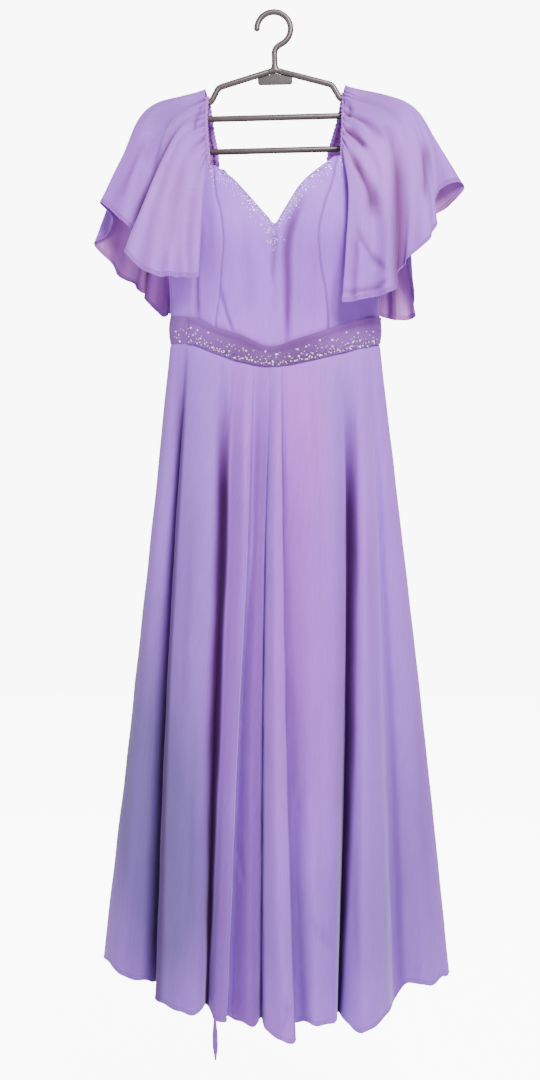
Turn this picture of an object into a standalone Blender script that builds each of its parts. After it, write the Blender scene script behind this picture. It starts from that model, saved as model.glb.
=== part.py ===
"""Full-length chiffon gown hanging by its two ruched straps on a moulded clothes hanger.

The tables and sizes are in millimetres and become metres where meshes are made.
X runs to the right as the gown is seen from the front, Y runs away from the
viewer and Z runs up.  The origin is the inside crown of the hanger's hook.
"""

import math
from collections import namedtuple

import bmesh
import bpy
from mathutils import Vector

MM = 0.001

# Cloth and seams
CLOTH_WALL = 1.2
SEAM_GAP = 0.5
HALF_SEAM = SEAM_GAP / 2

# Hanger, in its own upright frame before it is tilted about the hook's crown
HANGER_TILT = math.radians(1.5)
HANGER_TUBE = 4.2
HOOK_TUBE = 4.0
HOOK_RADIUS = 25.3
HOOK_TIP_ANGLE = 180
HOOK_END_ANGLE = -48
HOOK_STEP_ANGLE = 12
HOOK_BEND = ((6.5, -45.5), (1.2, -51.5), (0, -60))
HOOK_BEND_STEPS = 3
TIP_GROWTH = 1.02
NECK_Z = -82.7
NECK_HALF = 9.0
FLARE_HEIGHT = 12.0
FLARE_BASE_RADIUS = 7.2
FLARE_TOP_RADIUS = 3.9
FLARE_LIFT = 6.6
PIECE_GAP = 0.3
ARM_BENDS = ((0, NECK_Z), (85, -107), (97.3, -129.3), (107.8, -130.3), (113, -120), (190, -145.2))
BEND_FILLET = 5.0
BEND_STEPS = 4
RAIL_LEVELS = (-154.0, -203.4)
RAIL_HALF = 115.5
POST_X = 120.0
POST_TOP_Z = -129.0
PLATE_HALF = 26.0
PLATE_BOTTOM_Z = -103.0
PLATE_CORNER = 4.0
PLATE_CORNER_STEPS = 4
PLATE_THICKNESS = 3.0

# Body of the gown
BODY_CENTRE_X = 2.5
CUP_X = 74.0
CUP_Z = -330.0
CUP_DEPTH = 13.0
CUP_HALF_WIDTH = 40.0
CUP_HALF_HEIGHT = 52.0

# Rows of points from edge to edge of each piece
BODICE_ROWS = 7
BAND_ROWS = 3
SKIRT_ROWS = 11
SLEEVE_ROWS = 11
FRONT_SAMPLES = 2
BACK_SAMPLES = 3
SLEEVE_SAMPLES = 2

# How far down the skirt its upper and lower stations lie, and how fast folds deepen
UPPER_STATION = 0.28
LOWER_STATION = 0.58
DEPTH_POWER = 0.8
WAIST_FADE = 4
BAND_BULGE = 2.2

# Halvings that settle a bodice column on the sloping top edge
TOP_EDGE_HALVINGS = 24

# Ruched straps
STRAP_WIDTH = 6.6
STRAP_THICKNESS = 4.4
STRAP_SIDES = 8
STRAP_GATHERS = 20
STRAP_RUFFLE = 0.09
STRAP_KEY_SAMPLES = 8
SLEEVE_OFF_STRAP = 4.6
GATHER_RIPPLE = 1.2

# Sleeves: steps along the strap they hang from, and where the hanger's arm lifts their roots
STRAP_STEPS = 200
RAY_KEY_SAMPLES = 12
LIFT_CENTRE = 0.5
LIFT_HALF_WIDTH = 0.09
LEFT_RIDGE_Z = -115.5
RIGHT_RIDGE_Z = -108.5

# Waist ties
TIE_WIDTH = 8.0
TIE_ROWS = 26
TIE_KEY_SAMPLES = 8
TIE_SWAY = 3.0
TIE_SWAY_TURN = 5.0

BodyRow = namedtuple("BodyRow", "z half_width front_depth back_depth")
Edge = namedtuple("Edge", "x z")
Seam = namedtuple("Seam", "z x")
Fold = namedtuple("Fold", "name waist_x upper_x lower_x hem_x hem_y hem_z")
Ray = namedtuple("Ray", "name strap middle low hem")
StrapPoint = namedtuple("StrapPoint", "x y z")

# The gown's level sections, which are half ellipses front and back
BODY_ROWS = (
    BodyRow(-560, 156.7, 46, 36),
    BodyRow(-455, 156.7, 47, 37),
    BodyRow(-400, 158, 54, 40),
    BodyRow(-330, 162, 64, 44),
    BodyRow(-290, 160, 61, 44),
    BodyRow(-240, 153, 54, 42),
    BodyRow(-200, 150, 50, 40),
)

# Top edge of the front: armhole, strap, sweetheart neckline, strap, armhole
FRONT_TOP = (
    Edge(-160, -340), Edge(-148, -318), Edge(-138, -296), Edge(-125, -272), Edge(-112, -250),
    Edge(-103, -237), Edge(-88, -236), Edge(-76, -244), Edge(-60, -256.5), Edge(-44.2, -274),
    Edge(-24.6, -297), Edge(-8.7, -315), Edge(1.4, -325.4), Edge(12.5, -309.5), Edge(25, -288.3),
    Edge(37.3, -268.7), Edge(48, -256.5), Edge(64, -242.3), Edge(80, -230), Edge(93, -221.5),
    Edge(109, -221), Edge(118, -240), Edge(130, -262), Edge(142, -286), Edge(152, -310),
    Edge(165, -334),
)

# Top edge of the back: armhole, strap, low vee, strap, armhole
BACK_TOP = (
    Edge(-160, -340), Edge(-146, -315), Edge(-132, -285), Edge(-112, -250), Edge(-98, -228),
    Edge(-92, -223), Edge(-76, -223), Edge(-60, -250), Edge(-40, -285), Edge(-20, -318),
    Edge(2.5, -345), Edge(22, -315), Edge(42, -280), Edge(62, -245), Edge(75, -215),
    Edge(92, -213), Edge(98, -220), Edge(112, -242), Edge(132, -275), Edge(148, -305),
    Edge(165, -334),
)

# Curved seams that shape the front over the bust
LEFT_PRINCESS = (
    Seam(-540, -85.5), Seam(-471, -84.5), Seam(-433, -80), Seam(-382, -76), Seam(-352, -73),
    Seam(-311, -77), Seam(-281, -84), Seam(-236, -89),
)
RIGHT_PRINCESS = (
    Seam(-540, 81.5), Seam(-466, 80.5), Seam(-426, 78), Seam(-382, 69), Seam(-343, 65.5),
    Seam(-304, 72.5), Seam(-256, 88), Seam(-221, 95),
)

# Waistband edges seen from the front; the back runs level
BAND_TOP = (
    Edge(-156, -454.5), Edge(-121, -458), Edge(-90, -472), Edge(-49, -486.5), Edge(-5, -504),
    Edge(39, -491), Edge(83, -476), Edge(127, -462), Edge(160, -454.5),
)
BAND_BOTTOM = (
    Edge(-156, -494), Edge(-118, -498), Edge(-86, -511.5), Edge(-49, -524.5), Edge(-2, -532),
    Edge(39, -526), Edge(98, -511.5), Edge(160, -494),
)
BACK_BAND_TOP_Z = -454.5
BACK_BAND_BOTTOM_Z = -494.0

# Skirt folds across the front from the left silhouette to the right one
FRONT_FOLDS = (
    Fold("side_left", -154.2, -180.5, -210.5, -255.6, 12, -1412),
    Fold("left_side_crest", -146, -171, -196, -229, -28, -1428),
    Fold("left_side_inner", -137, -158, -179, -196, -24, -1443),
    Fold("left_gap", -130, -140, -155, -164, 16, -1452),
    Fold("panel_edge", -123, -143.5, -158, -173, -52, -1456),
    Fold("panel_crest", -112, -130, -142, -149, -86, -1462),
    Fold("panel_low", -99, -112, -123, -128, -97, -1470),
    Fold("panel_right", -85, -90, -101, -105, -84, -1466),
    Fold("tuck_gap", -74, -78, -88, -98, -54, -1468),
    Fold("strip_left", -64, -68.5, -79, -90, -77, -1474),
    Fold("strip_low", -51, -56, -68, -84, -92, -1480),
    Fold("strip_right", -37, -42, -55, -70, -90, -1482),
    Fold("step", -29, -37, -51, -67, -60, -1480),
    Fold("shade_left", -22, -31, -44, -55, -66, -1484),
    Fold("shade_low", -15, -22, -32, -37, -82, -1492),
    Fold("shade_right", -9, -16, -21.5, -25, -73, -1488),
    Fold("pleat_left_gap", -4, -12, -16, -18, -48, -1482),
    Fold("pleat_left", 1.4, -7.5, -10, -11, -88, -1494),
    Fold("pleat_low", 6, 3, 4, 14, -118, -1503),
    Fold("pleat_right", 11, 14.5, 19, 31, -104, -1504),
    Fold("pleat_under", 16, 12.5, 15, 25, -68, -1486),
    Fold("wide_left", 22, 20, 26, 38, -78, -1484),
    Fold("wide_low", 50, 48, 52, 59, -104, -1483),
    Fold("wide_right", 81, 88, 89, 87, -82, -1484),
    Fold("right_gap", 104, 108, 106, 95.5, -28, -1484),
    Fold("end_left", 115, 119, 114, 104, -68, -1488),
    Fold("end_low", 127, 133, 131, 127, -104, -1495),
    Fold("end_right", 137, 149, 156, 166, -66, -1478),
    Fold("seam_gap", 144, 157, 168, 182, -22, -1462),
    Fold("right_side_inner", 149, 166, 182, 200, -34, -1440),
    Fold("right_side_crest", 154, 177, 204, 236, -26, -1448),
    Fold("side_right", 159.2, 190.3, 223, 264.6, 12, -1436),
)

# Skirt folds across the back from the right silhouette to the left one
BACK_FOLDS = (
    Fold("back_right_edge", 150, 178, 203, 238, 60, -1446),
    Fold("back_right_gap", 136, 152, 172, 198, 34, -1450),
    Fold("back_right_crest", 118, 132, 146, 160, 92, -1462),
    Fold("back_inner_gap", 98, 104, 112, 118, 52, -1466),
    Fold("back_wide_crest", 72, 78, 84, 84, 104, -1470),
    Fold("back_wide_gap", 46, 48, 48, 44, 62, -1472),
    Fold("centre_right", 11.5, 15, 18, 20, 106, -1474),
    Fold("centre_left", -15.5, -17, -19, -22, 76, -1474),
    Fold("back_crest", -36, -42, -50, -60, 108, -1472),
    Fold("back_left_gap", -64, -70, -80, -94, 60, -1466),
    Fold("back_left_crest", -92, -100, -114, -128, 98, -1460),
    Fold("back_outer_gap", -118, -132, -150, -168, 50, -1446),
    Fold("back_left_edge", -141, -162, -186, -220, 64, -1430),
)

# Ruched straps from the front of the bodice over the hanger's notch to the back
LEFT_STRAP = (
    StrapPoint(-95.5, -41.5, -235.75), StrapPoint(-98.5, -33, -205), StrapPoint(-101, -20, -165),
    StrapPoint(-100.5, -9, -134), StrapPoint(-99.4, 0, -124.3), StrapPoint(-97.5, 9, -134),
    StrapPoint(-93, 20, -165), StrapPoint(-87, 29, -200), StrapPoint(-84.2, 34, -222.65),
)
RIGHT_STRAP = (
    StrapPoint(101, -39.5, -220.7), StrapPoint(103, -32, -195), StrapPoint(104.5, -20, -158),
    StrapPoint(105.5, -9, -129), StrapPoint(105.8, 0, -118.6), StrapPoint(104, 9, -129),
    StrapPoint(98, 20, -158), StrapPoint(88, 29, -190), StrapPoint(83.5, 34, -212.8),
)

# Flutter sleeves: fall lines from the strap to the hem, from the front round to the back
LEFT_SLEEVE = (
    Ray("free_edge", 0.04, (-103, -64, -280), (-107, -72, -344), (-111, -76, -406)),
    Ray("front_inner", 0.10, (-115, -63, -262), (-124, -78, -331), (-125, -86, -408)),
    Ray("front_middle", 0.17, (-126, -60, -240), (-141, -80, -324), (-148, -90, -407)),
    Ray("front_outer", 0.24, (-131, -50, -208), (-159, -76, -302), (-171, -88, -405)),
    Ray("lobe", 0.31, (-136, -40, -188), (-173, -66, -288), (-195, -82, -391)),
    Ray("lobe_crest", 0.37, (-143, -30, -172), (-185, -56, -280), (-214, -72, -369)),
    Ray("valley", 0.42, (-148, -18, -156), (-185, -34, -252), (-204, -34, -341)),
    Ray("upper_hem", 0.46, (-182, -10, -147), (-206, -24, -231), (-224, -34, -315)),
    Ray("outer_tip", 0.50, (-189, 0, -141), (-226, -8, -218), (-256, -14, -285)),
    Ray("behind_tip", 0.53, (-188, 11, -146), (-225, 12, -229), (-240, 8, -313)),
    Ray("second_tip", 0.57, (-188, 20, -152), (-236, 26, -249), (-267, 22, -339)),
    Ray("back_outer", 0.63, (-178, 27, -160), (-212, 38, -277), (-238, 40, -377)),
    Ray("back_wave", 0.70, (-165, 35, -172), (-189, 48, -291), (-213, 56, -399)),
    Ray("back_valley", 0.77, (-155, 42, -195), (-177, 54, -319), (-193, 46, -416)),
    Ray("pendant", 0.84, (-143, 50, -221), (-163, 64, -330), (-175, 66, -443)),
    Ray("back_inner", 0.91, (-134, 55, -245), (-150, 68, -345), (-154, 78, -436)),
    Ray("back_edge", 0.96, (-117, 56, -262), (-125, 66, -350), (-126, 72, -450)),
)
RIGHT_SLEEVE = (
    Ray("free_edge", 0.04, (110, -64, -275), (107, -72, -352), (101, -78, -443)),
    Ray("front_inner", 0.10, (127, -66, -263), (125, -80, -353), (119, -86, -441)),
    Ray("front_valley", 0.17, (141, -56, -239), (146, -70, -337), (141, -76, -435)),
    Ray("front_outer", 0.24, (150, -52, -216), (166, -78, -324), (162, -88, -431)),
    Ray("lobe_crest", 0.31, (163, -40, -191), (181, -66, -307), (181, -76, -418)),
    Ray("valley", 0.37, (170, -28, -172), (191, -50, -287), (190, -56, -388)),
    Ray("side_inner", 0.41, (180, -22, -161), (204, -44, -273), (200, -56, -372)),
    Ray("side_outer", 0.44, (189, -15, -152), (219, -36, -241), (225, -50, -349)),
    Ray("side_crest", 0.47, (198, -9, -140), (233, -20, -223), (239, -30, -324)),
    Ray("upper_hem", 0.50, (205, 0, -134.5), (241, -6, -200), (260, -14, -287)),
    Ray("outer_tip", 0.53, (204, 9, -137), (245, 8, -195), (288, 4, -259)),
    Ray("behind_tip", 0.57, (195, 18, -147), (226, 26, -227), (236, 28, -309)),
    Ray("back_outer", 0.63, (184, 27, -160), (203, 38, -280), (203, 34, -378)),
    Ray("back_corner", 0.70, (174, 37, -178), (199, 53, -320), (221, 56, -440)),
    Ray("back_valley", 0.78, (160, 44, -201), (183, 60, -315), (192, 62, -449)),
    Ray("back_inner", 0.86, (148, 51, -225), (161, 65, -325), (166, 66, -442)),
    Ray("back_edge", 0.95, (126, 56, -250), (134, 66, -335), (137, 74, -436)),
)

# Ends of the two narrow ties that hang from the back of the waistband
LEFT_TIE = (
    StrapPoint(-99, 31.8, -464), StrapPoint(-99, 32.2, -478), StrapPoint(-98, 37, -510),
    StrapPoint(-98, 52, -640), StrapPoint(-96, 72, -900), StrapPoint(-93, 92, -1200),
    StrapPoint(-90, 106, -1440), StrapPoint(-88, 109, -1605),
)
RIGHT_TIE = (
    StrapPoint(104, 31.8, -464), StrapPoint(104, 32.2, -478), StrapPoint(103, 37, -510),
    StrapPoint(101, 52, -640), StrapPoint(98, 74, -900), StrapPoint(96, 92, -1150),
    StrapPoint(95, 102, -1360),
)

CHIFFON = (0.47, 0.36, 0.72, 1.0)
CHIFFON_PINK = (0.55, 0.38, 0.76, 1.0)
PLASTIC = (0.19, 0.155, 0.165, 1.0)
CLOTH_ROUGHNESS = 0.62
CLOTH_SHEEN = 0.4
PLASTIC_ROUGHNESS = 0.35


def rising_slopes(knots, values):
    """Slopes for a smooth curve through the values that never overshoots them."""
    steps = [(values[i + 1] - values[i]) / (knots[i + 1] - knots[i]) for i in range(len(knots) - 1)]
    slopes = [steps[0]]
    for before, after in zip(steps, steps[1:]):
        same_way = before * after > 0
        slopes.append(2 * before * after / (before + after) if same_way else 0.0)
    slopes.append(steps[-1])
    return slopes


def smooth_lookup(knots, values, at):
    """Value at a place on the smooth curve through a table's columns."""
    if at <= knots[0]:
        return values[0]
    if at >= knots[-1]:
        return values[-1]
    slopes = rising_slopes(knots, values)
    i = max(k for k in range(len(knots) - 1) if knots[k] <= at)
    span = knots[i + 1] - knots[i]
    f = (at - knots[i]) / span
    return (
        (1 + 2 * f) * (1 - f) ** 2 * values[i]
        + f * (1 - f) ** 2 * span * slopes[i]
        + f * f * (3 - 2 * f) * values[i + 1]
        + f * f * (f - 1) * span * slopes[i + 1]
    )


def column(table, name):
    """One named column of a table."""
    return [getattr(row, name) for row in table]


def edge_height(table, x):
    """Height of an edge table at x."""
    return smooth_lookup(column(table, "x"), column(table, "z"), x)


def spline_between(before, start, end, after, fraction):
    """Point on the centripetal curve that runs from start to end past its neighbours."""
    knots = [0.0]
    points = (before, start, end, after)
    for first, second in zip(points, points[1:]):
        knots.append(knots[-1] + max((second - first).length, 1e-6) ** 0.5)
    at = knots[1] + (knots[2] - knots[1]) * fraction

    def mix(a, b, low, high):
        share = (at - knots[low]) / (knots[high] - knots[low])
        return a + (b - a) * share

    first = mix(before, start, 0, 1)
    second = mix(start, end, 1, 2)
    third = mix(end, after, 2, 3)
    return mix(mix(first, second, 0, 2), mix(second, third, 1, 3), 1, 2)


def spline_through(points, samples, closed=False):
    """Points on a smooth curve through the given ones; samples may differ for each stretch."""
    count = len(points)
    if isinstance(samples, int):
        samples = [samples] * count
    if closed:
        around = [points[i % count] for i in range(-1, count + 2)]
    else:
        around = [points[0] * 2 - points[1], *points, points[-1] * 2 - points[-2]]
    curve = []
    for i in range(len(around) - 3):
        for k in range(samples[i]):
            curve.append(spline_between(*around[i:i + 4], k / samples[i]))
    if not closed:
        curve.append(points[-1].copy())
    return curve


def spread_evenly(points, count):
    """The same line with its points evenly spaced along it."""
    lengths = [0.0]
    for first, second in zip(points, points[1:]):
        lengths.append(lengths[-1] + (second - first).length)
    spread = []
    i = 0
    for k in range(count):
        at = lengths[-1] * k / (count - 1)
        while i < len(lengths) - 2 and lengths[i + 1] < at:
            i += 1
        share = (at - lengths[i]) / (lengths[i + 1] - lengths[i])
        spread.append(points[i].lerp(points[i + 1], min(max(share, 0.0), 1.0)))
    return spread


def material(name, colour, roughness, sheen=0.0):
    """A plain finish in the part's colour."""
    finish = bpy.data.materials.new(name)
    finish.use_nodes = True
    shader = finish.node_tree.nodes["Principled BSDF"]
    shader.inputs["Base Color"].default_value = colour
    shader.inputs["Roughness"].default_value = roughness
    shader.inputs["Metallic"].default_value = 0.0
    shader.inputs["Sheen Weight"].default_value = sheen
    return finish


def dress(obj, colour, roughness, sheen=0.0):
    """Give a piece its own material."""
    obj.data.materials.clear()
    obj.data.materials.append(material(obj.name + "_finish", colour, roughness, sheen))


def mesh_object(name, points, faces, collection):
    """An object from points in millimetres and their faces."""
    mesh = bpy.data.meshes.new(name)
    mesh.from_pydata([p * MM for p in points], [], faces)
    mesh.shade_smooth()
    obj = bpy.data.objects.new(name, mesh)
    collection.objects.link(obj)
    return obj


def cloth_sheet(name, rows, collection, colour=CHIFFON):
    """A wall of cloth: an open loft through rows of points, thickened both ways."""
    width = len(rows[0])
    points = [point for row in rows for point in row]
    faces = []
    for r in range(len(rows) - 1):
        for c in range(width - 1):
            low = r * width + c
            faces.append((low, low + 1, low + 1 + width, low + width))
    obj = mesh_object(name, points, faces, collection)
    wall = obj.modifiers.new("wall", "SOLIDIFY")
    wall.thickness = CLOTH_WALL * MM
    wall.offset = 0.0
    dress(obj, colour, CLOTH_ROUGHNESS, CLOTH_SHEEN)
    return obj


def body_section(angle, z):
    """Point of the gown's body at an angle: 0 left side, quarter turn front, half turn right."""
    heights = column(BODY_ROWS, "z")
    half_width = smooth_lookup(heights, column(BODY_ROWS, "half_width"), z)
    x = BODY_CENTRE_X - half_width * math.cos(angle)
    if math.sin(angle) >= 0:
        depth = smooth_lookup(heights, column(BODY_ROWS, "front_depth"), z)
        y = -depth * math.sin(angle) - cup_swell(x, z) * math.sin(angle)
    else:
        depth = smooth_lookup(heights, column(BODY_ROWS, "back_depth"), z)
        y = -depth * math.sin(angle)
    return Vector((x, y, z))


def cup_swell(x, z):
    """How far the front swells over one of its two cups."""
    across = (abs(x - BODY_CENTRE_X) - CUP_X) / CUP_HALF_WIDTH
    up = (z - CUP_Z) / CUP_HALF_HEIGHT
    return CUP_DEPTH * math.exp(-across * across - up * up)


def angle_at(x, z, front=True):
    """Angle of the body's section where it passes x."""
    half_width = smooth_lookup(column(BODY_ROWS, "z"), column(BODY_ROWS, "half_width"), z)
    cosine = min(max((BODY_CENTRE_X - x) / half_width, -1.0), 1.0)
    angle = math.acos(cosine)
    return angle if front else 2 * math.pi - angle


def band_edge(table, back_z, angle):
    """Height of a waistband edge at an angle round the waist."""
    if math.sin(angle) < 0:
        return back_z
    return edge_height(table, body_section(angle, back_z).x)


def band_top(angle):
    """Height where the bodice meets the waistband."""
    return band_edge(BAND_TOP, BACK_BAND_TOP_Z, angle)


def band_bottom(angle):
    """Height where the waistband meets the skirt."""
    return band_edge(BAND_BOTTOM, BACK_BAND_BOTTOM_Z, angle)


def fold_samples():
    """Number of columns from each fold line to the next, all the way round."""
    return [FRONT_SAMPLES] * len(FRONT_FOLDS) + [BACK_SAMPLES] * len(BACK_FOLDS)


def waist_angles():
    """Angles round the waist of every column that the bodice, band and skirt share."""
    keys = [angle_at(fold.waist_x, BACK_BAND_BOTTOM_Z) for fold in FRONT_FOLDS]
    keys += [angle_at(fold.waist_x, BACK_BAND_BOTTOM_Z, front=False) for fold in BACK_FOLDS]
    keys.append(keys[0] + 2 * math.pi)
    angles = []
    for start, end, samples in zip(keys, keys[1:], fold_samples()):
        for k in range(samples):
            angles.append(start + (end - start) * k / samples)
    return angles


def fold_named(name):
    """Column number of a fold's own line."""
    names = column(FRONT_FOLDS + BACK_FOLDS, "name")
    return sum(fold_samples()[:names.index(name)])


def skirt_ring(drop, angles):
    """Closed ring of the skirt at a share of the way from the waistband to the hem."""
    stations = (0.0, UPPER_STATION, LOWER_STATION, 1.0)
    keys = []
    for fold in FRONT_FOLDS + BACK_FOLDS:
        angle = angles[fold_named(fold.name)]
        waist = body_section(angle, band_bottom(angle))
        across = (waist.x, fold.upper_x, fold.lower_x, fold.hem_x)
        x = smooth_lookup(stations, across, drop)
        y = waist.y + (fold.hem_y - waist.y) * drop ** DEPTH_POWER
        z = waist.z + (fold.hem_z - waist.z) * drop
        keys.append(Vector((x, y, z)))
    return spline_through(keys, fold_samples(), closed=True)


def skirt_rows(angles):
    """All rings of the skirt, the first lying exactly under the waistband."""
    waist = [body_section(angle, band_bottom(angle)) for angle in angles]
    first = skirt_ring(0.0, angles)
    rows = []
    for r in range(SKIRT_ROWS):
        drop = r / (SKIRT_ROWS - 1)
        ring = skirt_ring(drop, angles)
        fade = (1 - drop) ** WAIST_FADE
        rows.append([p + (w - f) * fade for p, w, f in zip(ring, waist, first)])
    rows[0] = [point - Vector((0, 0, HALF_SEAM)) for point in rows[0]]
    return rows


def pulled_in(row):
    """A row whose two ends stop short of the seams."""
    row = list(row)
    row[0] = row[0] + (row[1] - row[0]).normalized() * HALF_SEAM
    row[-1] = row[-1] + (row[-2] - row[-1]).normalized() * HALF_SEAM
    return row


def stretch_of(ring, start, end):
    """Points of a closed ring from one column to another, past its join if need be."""
    count = len(ring)
    if end <= start:
        end += count
    return [ring[i % count] for i in range(start, end + 1)]


def build_skirt(angles, collection):
    """Five skirt panels with their seams on the flanks of folds."""
    rows = skirt_rows(angles)
    side_left = fold_named("side_left") + 1
    side_right = fold_named("right_side_crest") + 1
    centre_back = fold_named("centre_right") + 1
    pleat_left = fold_named("shade_right") + 1
    pleat_right = fold_named("pleat_right") + 1
    panels = (
        ("skirt_front_left", side_left, pleat_left, CHIFFON),
        ("skirt_front_pleat", pleat_left, pleat_right, CHIFFON_PINK),
        ("skirt_front_right", pleat_right, side_right, CHIFFON),
        ("skirt_back_right", side_right, centre_back, CHIFFON),
        ("skirt_back_left", centre_back, side_left, CHIFFON),
    )
    for name, start, end, colour in panels:
        cloth_sheet(name, [pulled_in(stretch_of(row, start, end)) for row in rows], collection, colour)


def band_rows(angles):
    """Rows of the waistband, a little fuller half way up."""
    rows = []
    for r in range(BAND_ROWS):
        share = r / (BAND_ROWS - 1)
        row = []
        for angle in angles:
            low = band_bottom(angle) + HALF_SEAM
            high = band_top(angle) - HALF_SEAM
            point = body_section(angle, low + (high - low) * share)
            outward = Vector((-math.cos(angle), -math.sin(angle), 0))
            row.append(point + outward * BAND_BULGE * math.sin(math.pi * share))
        rows.append(row)
    return rows


def build_waistband(angles, collection):
    """Front waistband and two back halves."""
    rows = band_rows(angles)
    side_left = fold_named("side_left") + 1
    side_right = fold_named("right_side_crest") + 1
    centre_back = fold_named("centre_right") + 1
    pieces = (
        ("waistband_front", side_left, side_right),
        ("waistband_back_right", side_right, centre_back),
        ("waistband_back_left", centre_back, side_left),
    )
    for name, start, end in pieces:
        cloth_sheet(name, [pulled_in(stretch_of(row, start, end)) for row in rows], collection)


def seam_angle(seam, z):
    """Angle of a princess seam, or of a straight line when seam is one angle."""
    if isinstance(seam, float):
        return seam
    heights = column(seam, "z")
    return angle_at(smooth_lookup(heights, column(seam, "x"), z), z)


def bodice_column(angle, share, left_seam, right_seam, top_table):
    """Points up one column of a bodice panel, from the band to the top edge."""
    bottom_z = band_top(angle) + HALF_SEAM
    top_z = bottom_z
    for _ in range(TOP_EDGE_HALVINGS):
        left = seam_angle(left_seam, top_z)
        right = seam_angle(right_seam, top_z)
        x = body_section(left + (right - left) * share, top_z).x
        top_z = (top_z + edge_height(top_table, x)) / 2
    points = []
    for r in range(BODICE_ROWS):
        z = bottom_z + (top_z - bottom_z) * r / (BODICE_ROWS - 1)
        left = seam_angle(left_seam, z)
        right = seam_angle(right_seam, z)
        points.append(body_section(angle if r == 0 else left + (right - left) * share, z))
    return points


def bodice_rows(angles, start, end, left_seam, right_seam, top_table):
    """Rows of a bodice panel between two seams."""
    count = len(angles)
    stop = end if end > start else end + count
    turned = [angles[i % count] + (2 * math.pi if i >= count else 0.0) for i in range(start, stop + 1)]
    columns = []
    for angle in turned:
        share = (angle - turned[0]) / (turned[-1] - turned[0])
        columns.append(bodice_column(angle, share, left_seam, right_seam, top_table))
    return [pulled_in([points[r] for points in columns]) for r in range(BODICE_ROWS)]


def build_bodice(angles, collection):
    """Centre front, two side fronts and two backs."""
    side_left = fold_named("side_left") + 1
    side_right = fold_named("right_side_crest") + 1
    centre_back = fold_named("centre_right") + 1
    princess_left = fold_named("panel_right")
    princess_right = fold_named("wide_right")
    centre_front = fold_named("pleat_left")
    middle = angles[centre_front]

    left_half = bodice_rows(angles, princess_left, centre_front, LEFT_PRINCESS, middle, FRONT_TOP)
    right_half = bodice_rows(angles, centre_front, princess_right, middle, RIGHT_PRINCESS, FRONT_TOP)
    front = [left[:-1] + [(left[-1] + right[0]) / 2] + right[1:]
             for left, right in zip(left_half, right_half)]
    cloth_sheet("bodice_front", front, collection)
    panels = (
        ("bodice_side_left", side_left, princess_left,
         angles[side_left], LEFT_PRINCESS, FRONT_TOP),
        ("bodice_side_right", princess_right, side_right,
         RIGHT_PRINCESS, angles[side_right], FRONT_TOP),
        ("bodice_back_right", side_right, centre_back,
         angles[side_right], angles[centre_back], BACK_TOP),
        ("bodice_back_left", centre_back, side_left,
         angles[centre_back], angles[side_left] + 2 * math.pi, BACK_TOP),
    )
    for name, start, end, left_seam, right_seam, top_table in panels:
        rows = bodice_rows(angles, start, end, left_seam, right_seam, top_table)
        cloth_sheet(name, rows, collection)


def tube_from_sections(name, sections, collection):
    """A closed tube through unlike sections, with flat ends."""
    sides = len(sections[0])
    points = [point for section in sections for point in section]
    faces = []
    for s in range(len(sections) - 1):
        for k in range(sides):
            after = (k + 1) % sides
            faces.append((s * sides + k, s * sides + after,
                          (s + 1) * sides + after, (s + 1) * sides + k))
    faces.append(tuple(range(sides - 1, -1, -1)))
    last = (len(sections) - 1) * sides
    faces.append(tuple(range(last, last + sides)))
    obj = mesh_object(name, points, faces, collection)
    mesh = bmesh.new()
    mesh.from_mesh(obj.data)
    bmesh.ops.recalc_face_normals(mesh, faces=mesh.faces)
    mesh.to_mesh(obj.data)
    mesh.free()
    return obj


def strap_line(table, count):
    """Evenly spaced points along a strap."""
    keys = [Vector(row) for row in table]
    return spread_evenly(spline_through(keys, STRAP_KEY_SAMPLES), count)


def build_strap(name, table, collection):
    """A ruched casing, wider across than through, with small even gathers."""
    line = strap_line(table, 2 * STRAP_GATHERS + 1)
    across = Vector((1, 0, 0))
    sections = []
    for i, centre in enumerate(line):
        before = line[max(i - 1, 0)]
        after = line[min(i + 1, len(line) - 1)]
        along = (after - before).normalized()
        if i in (0, len(line) - 1):
            along = Vector((0, 0, 1 if i == 0 else -1))
        side = (across - along * across.dot(along)).normalized()
        through = along.cross(side)
        puff = 1 + STRAP_RUFFLE * (1 if i % 2 else -1)
        section = []
        for k in range(STRAP_SIDES):
            turn = 2 * math.pi * (k + 0.5) / STRAP_SIDES
            offset = side * math.cos(turn) * STRAP_WIDTH / 2
            offset += through * math.sin(turn) * STRAP_THICKNESS / 2
            section.append(centre + offset * puff)
        sections.append(section)
    obj = tube_from_sections(name, sections, collection)
    dress(obj, CHIFFON_PINK, CLOTH_ROUGHNESS, CLOTH_SHEEN)
    return obj


def build_sleeve(name, rays, strap, outward, ridge_z, collection):
    """A circular flutter sleeve gathered on the strap and spread over the hanger's shoulder."""
    fine = strap_line(strap, STRAP_STEPS + 1)
    lines = []
    for number, ray in enumerate(rays):
        root = fine[round(ray.strap * STRAP_STEPS)].copy()
        lift = math.exp(-((ray.strap - LIFT_CENTRE) / LIFT_HALF_WIDTH) ** 2)
        root.x += outward * SLEEVE_OFF_STRAP
        root.z += (ridge_z - root.z) * lift
        root.y += GATHER_RIPPLE * (1 if number % 2 else -1)
        keys = [root, Vector(ray.middle), Vector(ray.low), Vector(ray.hem)]
        lines.append(spread_evenly(spline_through(keys, RAY_KEY_SAMPLES), SLEEVE_ROWS))
    rows = [spline_through([line[r] for line in lines], SLEEVE_SAMPLES) for r in range(SLEEVE_ROWS)]
    if outward > 0:
        rows = [list(reversed(row)) for row in rows]
    return cloth_sheet(name, rows, collection)


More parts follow.
